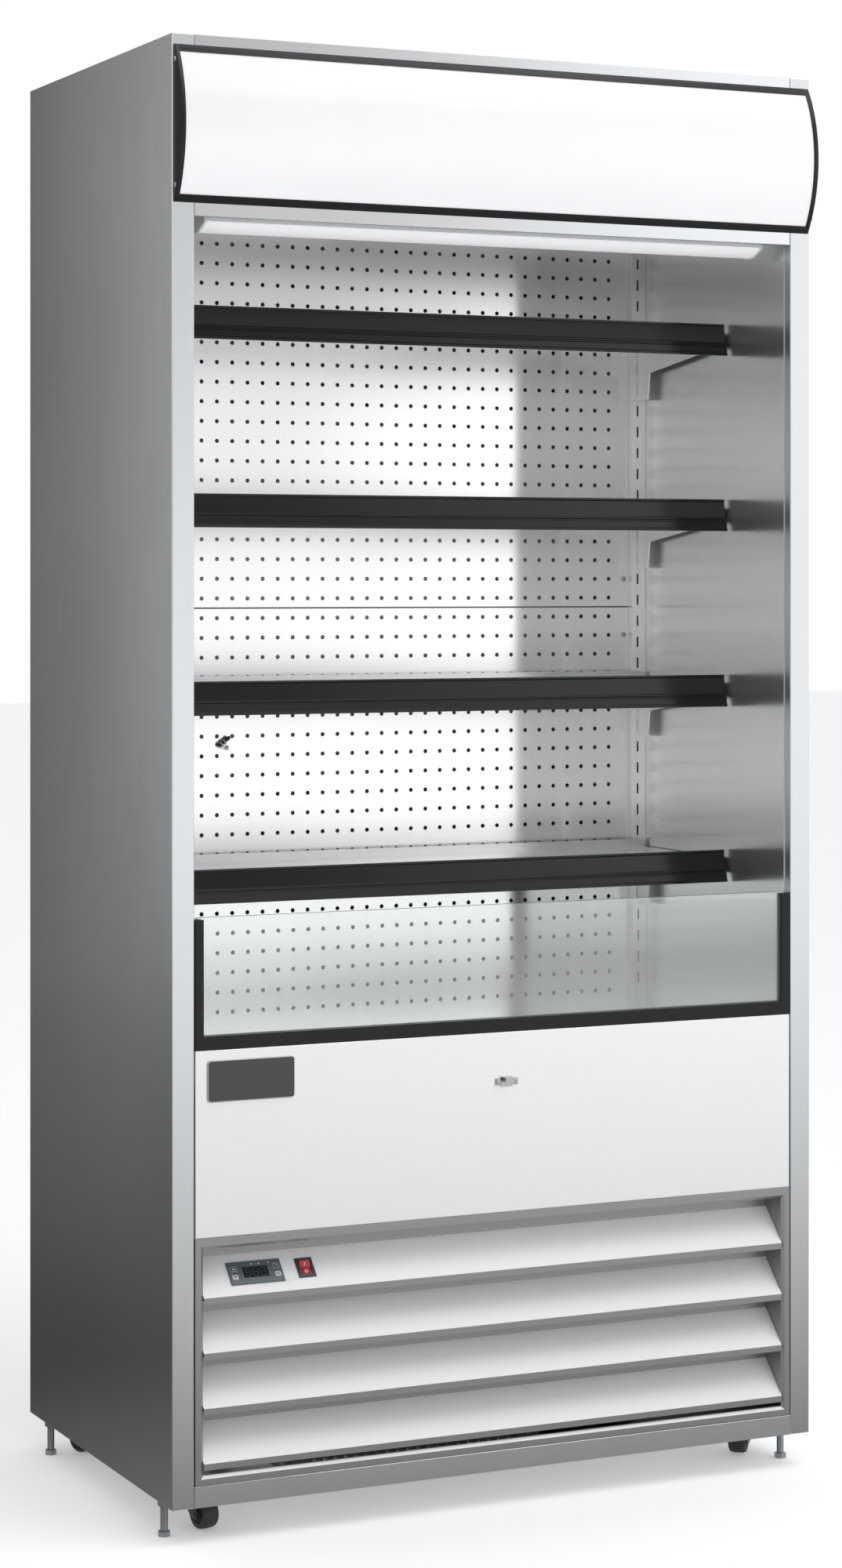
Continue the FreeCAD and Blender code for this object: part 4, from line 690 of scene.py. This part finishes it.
# Swivel axis in mm, and the heading of the wheel in degrees.
CASTORS = {
    "front_left": ((-CASTOR_SIDE, CASTOR_FRONT), -80.0),
    "front_right": ((CASTOR_SIDE, CASTOR_FRONT), 50.0),
    "rear_left": ((-CASTOR_SIDE, CASTOR_REAR), 115.0),
    "rear_right": ((CASTOR_SIDE, CASTOR_REAR), 72.0),
}
for corner, (place, heading) in CASTORS.items():
    threads(corner)
    castor_wheel(corner, place, heading)


# ------------------------------------------------------------------ air sensor
def air_sensor():
    """Black sensor capsule held by a bent metal clip, with the clip's screw below it."""
    low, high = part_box("sensor_probe")
    wall = high.y / MM
    centre = Vector(((low.x + high.x) / 2, high.y, (low.z + high.z) / 2)) / MM
    tilt = math.radians(38.0)
    along = Vector((math.cos(tilt), 0.0, math.sin(tilt)))
    start = (centre + Vector((-8.6, -7.0, -5.0))) * MM
    capsule = [
        (0.0, 0.0), (1.6, 0.3), (2.6, 1.2), (3.0, 2.8), (3.0, 14.6), (2.6, 15.0), (2.6, 16.2), (3.0, 16.6),
        (3.0, 20.2), (2.5, 21.6), (1.4, 22.4), (0.0, 22.6),
    ]
    body = lathe("probe_capsule", capsule, start, along, probe_dark, segments=28)
    ring = [(3.1, -1.1), (3.9, -1.1), (4.1, -0.8), (4.1, 0.8), (3.9, 1.1), (3.1, 1.1), (3.1, -1.1)]
    for number, place in enumerate((5.0, 11.0)):
        lathe("probe_band_%d" % number, ring, start + along * place * MM, along, screw_steel, segments=28)
    at = upright_face(centre.x * MM, wall * MM, centre.z * MM)
    outline = [
        (-7.6, -6.2), (-6.0, -8.4), (7.4, -11.0), (8.8, -9.6),
        (9.0, -6.4), (7.6, -4.6), (1.0, 0.6), (-2.8, 0.4),
    ]
    clip_height = 4.0
    plate = extruded("probe_clip", outline, 0.1, clip_height, at, screw_steel)
    bevel(plate, 0.0003)
    head = [(0.0, 2.2), (1.2, 2.1), (2.4, 1.5), (3.1, 0.4), (3.1, 0.0), (1.6, -0.2)]
    screw_at = Vector((centre.x + 5.2, wall - clip_height, centre.z - 7.8)) * MM
    lathe("probe_screw", head, screw_at, (0.0, -1.0, 0.0), screw_steel, segments=28)
    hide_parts("sensor_probe")


air_sensor()


# ------------------------------------------------------------------ duct panel joint
def duct_seam():
    """Dark sealing strip over the joint of the two duct panels."""
    low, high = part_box("duct_panel_lower")
    face = low.y / MM
    joint = high.z / MM + 0.5
    half = 1.2
    flat = 0.7
    margin = 1.0
    strip = profile_x("duct_seam_strip", [
        (face - 0.05, joint - half), (face - 0.35, joint - flat), (face - 0.35, joint + flat),
        (face - 0.05, joint + half), (face, joint + half), (face, joint - half),
    ], low.x / MM + margin, high.x / MM - margin, comb_grey)
    bevel(strip, 0.0001)


duct_seam()


# ------------------------------------------------------------------ lamp and curtain
HEADER = 1794.5  # lower edge of the header sheet, in mm
LAMP_HALF = 438.0
CAP = 3.0
ARM = 26.0
BATTEN_HALF = 427.0
BATTEN_LOW = 1911.0
BATTEN_HIGH = 1927.0


def glow(name, colour, strength, rough=0.4):
    """Diffusing plastic lit from behind."""
    mat, tree, shader = new_material(name)
    cloud = noise(tree, coordinates(tree, (1.0, 1.0, 1.0)), 9.0, 2.0)
    low = tuple(c * 0.985 for c in colour)
    tree.links.new(ramp(tree, cloud, [(0.3, low), (0.7, colour)]), shader.inputs["Base Color"])
    shader.inputs["Roughness"].default_value = rough
    shader.inputs["Emission Color"].default_value = (*colour, 1.0)
    shader.inputs["Emission Strength"].default_value = strength
    return mat


def sign_material():
    """Translucent sign panel with a painted glow: emission stands in for light, stronger towards its lower
    edge, leaving painted shade towards the top.
    """
    mat, tree, shader = new_material("sign_glow")
    where = coordinates(tree, (1.0, 1.0, 1.0))
    cloud = noise(tree, where, 9.0, 2.0)
    tree.links.new(
        ramp(tree, cloud, [(0.3, (0.80, 0.805, 0.81)), (0.7, (0.82, 0.825, 0.83))]),
        shader.inputs["Base Color"],
    )
    parts = tree.nodes.new("ShaderNodeSeparateXYZ")
    tree.links.new(where, parts.inputs[0])
    # Painted glow and shade: emission is 0.2 at the lower edge and fades to none at the top.
    lit = spread(tree, parts.outputs["Z"], 0.2, 0.0, 1.82, 2.02)
    tree.links.new(lit, shader.inputs["Emission Strength"])
    shader.inputs["Emission Color"].default_value = (0.95, 0.97, 1.0, 1.0)
    shader.inputs["Roughness"].default_value = 0.25
    return mat


def lamp_pieces():
    """Housing, diffuser, end caps with arms, and the batten behind the sign."""
    y_front = FRONT + 33.0
    y_rear = y_front + 45.0
    top = HEADER + 22.0
    lip = HEADER - 2.0
    low = lip - 13.0
    housing = profile_x("lamp_housing", [
        (y_front, lip), (y_front, top), (y_rear, top), (y_rear, lip - 6), (y_rear - 2, lip - 6),
        (y_rear - 2, top - 2), (y_front + 2, top - 2), (y_front + 2, lip),
    ], -LAMP_HALF, LAMP_HALF, lamp_white)
    bevel(housing, 0.0005)
    curve = [(y_front + 2.3, lip + 6), (y_front + 2.3, lip - 0.3), (y_front + 1.2, lip - 1.6)]
    for step in range(1, 9):
        share = step / 8
        drop = (low - lip + 1.5) * math.sin(share * math.pi / 2) ** 0.8
        curve.append((y_front + 1.2 + 33.0 * share, lip - 1.5 + drop))
    curve += [(y_rear - 5.0, low + 0.6), (y_rear - 2.6, low + 3.0), (y_rear - 2.3, lip + 6)]
    lens = profile_x("lamp_diffuser", curve, 2.0 - LAMP_HALF, LAMP_HALF - 2.0, lamp_glow)
    bevel(lens, 0.0004, 2, 50.0)
    for name, side in (("left", -1), ("right", 1)):
        cap = profile_x("lamp_cap_" + name, [
            (y_front, lip - 2), (y_front, top), (y_rear, top), (y_rear, low + 2), (y_rear - 4, low - 1),
            (y_front + 27, low - 1),
        ], side * LAMP_HALF, side * (LAMP_HALF + CAP), lamp_white)
        bevel(cap, 0.0004)
        arm = profile_x("lamp_arm_" + name, [
            (y_front + 8, top - 3), (y_front + 8, top), (y_rear - 8, top), (y_rear - 8, top - 3),
        ], side * (LAMP_HALF + CAP), side * (LAMP_HALF + CAP + ARM), galvanised)
        bevel(arm, 0.0004)
    batten = profile_x("sign_batten", [
        (FRONT - 6, BATTEN_LOW), (FRONT - 6, BATTEN_HIGH), (FRONT, BATTEN_HIGH), (FRONT, BATTEN_LOW),
    ], -BATTEN_HALF, BATTEN_HALF, lamp_glow)
    bevel(batten, 0.001)
    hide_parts("lamp")


def curtain():
    """Free stretch of the curtain as one thin sheet."""
    low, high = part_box("curtain_cloth")
    columns, rows, thick = 60, 8, 0.0007
    verts, faces = [], []
    for side in (0, 1):
        for row in range(rows + 1):
            share = row / rows
            z = low.z + (high.z - low.z) * share
            y = low.y + thick / 2 + (high.y - low.y - thick) * share + (side - 0.5) * thick
            for column in range(columns + 1):
                verts.append((low.x + (high.x - low.x) * column / columns, y, z))
    per_side = (rows + 1) * (columns + 1)
    for side in (0, 1):
        for row in range(rows):
            for column in range(columns):
                a = side * per_side + row * (columns + 1) + column
                faces.append((a, a + 1, a + columns + 2, a + columns + 1))
    for column in range(columns):
        a = column
        faces.append((a, a + 1, per_side + a + 1, per_side + a))
        b = rows * (columns + 1) + column
        faces.append((b, b + 1, per_side + b + 1, per_side + b))
    for row in range(rows):
        a = row * (columns + 1)
        faces.append((a, a + columns + 1, per_side + a + columns + 1, per_side + a))
        b = a + columns
        faces.append((b, b + columns + 1, per_side + b + columns + 1, per_side + b))
    cloth = add_piece("curtain_sheet", verts, faces, curtain_grey, None)
    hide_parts("curtain_cloth")
    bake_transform(cloth)


def curtain_roll():
    """The stored curtain wound in a spiral on the tube of its spring roller."""
    low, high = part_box("curtain_roller")
    y = (low.y + high.y) / 2
    z = (low.z + high.z) / 2
    outer = (high.z - low.z) / 2
    half = 0.455
    bore = 0.0152
    pitch = 0.00072
    cloth = 0.0006
    steps = 40
    turns = (outer - cloth - bore) / pitch
    count = int(turns * steps)
    rows = []
    for step in range(count + 1):
        angle = 2 * math.pi * step / steps
        inner = bore + pitch * step / steps
        for radius in (inner, inner + cloth):
            for x in (-half, half):
                rows.append((x, y + radius * math.cos(angle), z + radius * math.sin(angle)))
    faces = [(0, 1, 3, 2), (4 * count, 4 * count + 2, 4 * count + 3, 4 * count + 1)]
    for step in range(count):
        a = 4 * step
        b = a + 4
        faces += [
            (a, b, b + 1, a + 1), (a + 2, a + 3, b + 3, b + 2),
            (a, a + 2, b + 2, b), (a + 1, b + 1, b + 3, a + 3),
        ]
    roll = add_piece("curtain_roll", rows, faces, curtain_grey, "curtain_roller")
    for face in roll.data.polygons:
        face.use_smooth = abs(face.normal.x) < 0.5
    tube_half = 458.0
    end = 2 * tube_half
    pin = 4.0
    tube = [
        (pin, -8.0), (pin, 0.0), (14.0, 0.0), (15.0, 1.0),
        (15.0, end - 1.0), (14.0, end), (pin, end), (pin, end + 12.0),
    ]
    lathe("curtain_tube", tube, Vector((-tube_half * MM, y, z)), (1.0, 0.0, 0.0), aluminium, "curtain_roller")
    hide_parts("curtain_roller")


lamp_glow = glow("lamp_glow", (0.90, 0.91, 0.92), 0.3)
sign_glow = sign_material()
paint(sign_glow, "sign_panel")
lamp_pieces()
curtain()
curtain_roll()


# ------------------------------------------------------------------ stage
def any_of(tree, *values):
    """One if any of the ray kinds holds."""
    total = values[0]
    for value in values[1:]:
        node = tree.nodes.new("ShaderNodeMath")
        node.operation = "MAXIMUM"
        tree.links.new(total, node.inputs[0])
        tree.links.new(value, node.inputs[1])
        total = node.outputs[0]
    return total


def seen_directly(tree):
    """Camera rays, and the mirror and glass rays that show the same background."""
    path = tree.nodes.new("ShaderNodeLightPath")
    return any_of(
        tree, path.outputs["Is Camera Ray"], path.outputs["Is Glossy Ray"],
        path.outputs["Is Transmission Ray"],
    )


def flat_plane(name, corners, mat):
    """One face of the stage."""
    mesh = bpy.data.meshes.new(name)
    mesh.from_pydata(corners, [], [(0, 1, 2, 3)])
    mesh.materials.append(mat)
    obj = bpy.data.objects.new(name, mesh)
    bpy.context.scene.collection.objects.link(obj)
    return obj


def floor():
    """Pale floor that keeps the shadow and meets the background without an edge."""
    mat, tree, shader = new_material("floor_pale")
    shader.inputs["Base Color"].default_value = (0.93, 0.935, 0.94, 1.0)
    shader.inputs["Roughness"].default_value = 0.9
    shader.inputs["Specular IOR Level"].default_value = 0.0
    lift = spread(tree, seen_directly(tree), 0.0, 0.24)
    shader.inputs["Emission Color"].default_value = (1.0, 1.0, 1.0, 1.0)
    tree.links.new(lift, shader.inputs["Emission Strength"])
    size = 30.0
    flat_plane("floor", [(-size, -size, 0), (size, -size, 0), (size, size, 0), (-size, size, 0)], mat)


def card(name, corners, axis, tones):
    """Toned card that only polished sheets mirror; tones are (place along the axis, radiance)."""
    mat, tree, shader = new_material(name)
    parts = tree.nodes.new("ShaderNodeSeparateXYZ")
    tree.links.new(coordinates(tree, (1.0, 1.0, 1.0)), parts.inputs[0])
    start = tones[0][0]
    end = tones[-1][0]
    along = spread(tree, parts.outputs[axis], 0.0, 1.0, start, end)
    peak = max(tone for _, tone in tones)
    stops = [((place - start) / (end - start), (tone / peak,) * 3) for place, tone in tones]
    shader.inputs["Base Color"].default_value = (0.0, 0.0, 0.0, 1.0)
    shader.inputs["Specular IOR Level"].default_value = 0.0
    tree.links.new(ramp(tree, along, stops), shader.inputs["Emission Color"])
    shader.inputs["Emission Strength"].default_value = peak
    plane = flat_plane(name, corners, mat)
    plane.visible_camera = False
    plane.visible_diffuse = False
    plane.visible_shadow = False
    plane.visible_transmission = False


CARD_FOOT = 0.003


def upright_card(name, start, end, low, high, axis, tones):
    """Card between two places on the plan."""
    corners = [(*start, low), (*end, low), (*end, high), (*start, high)]
    card(name, corners, axis, tones)


def floor_card(name, x_range, y_range, tones):
    """Card lying just over the floor, toned along Y."""
    places = [(0, 0), (1, 0), (1, 1), (0, 1)]
    corners = [(x_range[i], y_range[j], CARD_FOOT) for i, j in places]
    card(name, corners, "Y", tones)


def world():
    """White background, and a softer fill of the same sky on the object."""
    sky = bpy.data.worlds.new("studio")
    bpy.context.scene.world = sky
    sky.use_nodes = True
    tree = sky.node_tree
    tree.nodes.clear()
    out = tree.nodes.new("ShaderNodeOutputWorld")
    white = tree.nodes.new("ShaderNodeBackground")
    white.inputs["Color"].default_value = (1.0, 1.0, 1.0, 1.0)
    white.inputs["Strength"].default_value = 1.0
    fill = tree.nodes.new("ShaderNodeBackground")
    fill.inputs["Color"].default_value = (0.97, 0.985, 1.0, 1.0)
    fill.inputs["Strength"].default_value = 0.72
    mix = tree.nodes.new("ShaderNodeMixShader")
    tree.links.new(seen_directly(tree), mix.inputs["Fac"])
    tree.links.new(fill.outputs[0], mix.inputs[1])
    tree.links.new(white.outputs[0], mix.inputs[2])
    tree.links.new(mix.outputs[0], out.inputs["Surface"])


def softbox(name, place, target, width, height, radiance):
    """Rectangular light of a given radiance, aimed at target and hidden from the camera."""
    data = bpy.data.lights.new(name, "AREA")
    data.shape = "RECTANGLE"
    data.size = width
    data.size_y = height
    data.energy = radiance * math.pi * width * height
    obj = bpy.data.objects.new(name, data)
    bpy.context.scene.collection.objects.link(obj)
    obj.location = place
    aim = Vector(target) - Vector(place)
    obj.rotation_euler = aim.to_track_quat("-Z", "Y").to_euler()
    obj.visible_camera = False
    return obj


def camera():
    """Camera fitted to the object's box: focal length and horizon in rows of a 2000 row picture."""
    rows = 2000.0
    focal = 4295.4
    horizon = 742.4
    data = bpy.data.cameras.new("camera")
    data.sensor_width = 36.0
    data.lens = focal / rows * 36.0
    data.shift_y = -(rows / 2 - horizon) / rows
    data.clip_end = 100.0
    obj = bpy.data.objects.new("camera", data)
    bpy.context.scene.collection.objects.link(obj)
    obj.location = (-2.1163, -4.5315, 1.3006)
    obj.rotation_euler = (math.radians(90.0), 0.0, math.radians(-25.07))
    bpy.context.scene.camera = obj


floor()
world()
front_box = softbox("front_box", (2.2, -6.4, 1.7), (0.0, 0.0, 0.9), 5.0, 3.0, 1.1)
front_box.visible_glossy = False
softbox("top_box", (1.4, -2.0, 4.8), (0.0, -0.2, 0.4), 3.2, 2.8, 2.2)
upright_card("side_card", (-1.2, 0.75), (-1.2, 7.0), CARD_FOOT, 4.5, "Y", [
    (0.75, 0.12), (1.6, 0.12), (2.6, 0.09),
])
upright_card("rear_card", (-1.2, 7.0), (6.0, 7.0), CARD_FOOT, 4.0, "Z", [(0.0, 0.5), (4.0, 0.5)])
upright_card("near_card", (-6.0, -6.8), (-0.4, -6.8), CARD_FOOT, 4.0, "Z", [(0.0, 0.28), (4.0, 0.28)])
upright_card("front_card", (-0.4, -6.2), (9.0, -6.2), CARD_FOOT, 5.0, "Z", [
    (0.0, 1.2), (0.65, 1.36), (1.2, 1.34), (1.76, 1.08), (2.35, 0.71), (3.0, 0.55), (5.0, 0.5),
])
upright_card("right_card", (2.7, -6.15), (9.0, -6.15), 1.6, 5.0, "X", [
    (2.7, 0.95), (3.3, 1.35), (3.9, 1.6), (9.0, 1.6),
])
floor_card("front_mat", (-5.0, 9.0), (-6.2, -0.33), [
    (-6.2, 1.16), (-3.9, 1.0), (-2.0, 0.70), (-0.86, 0.42), (-0.6, 0.34), (-0.33, 0.25),
])
floor_card("side_mat", (-5.0, -0.51), (-0.33, 6.0), [(-0.33, 0.2), (0.2, 0.12), (0.7, 0.05), (6.0, 0.05)])
camera()

bpy.context.scene.view_settings.view_transform = "Standard"
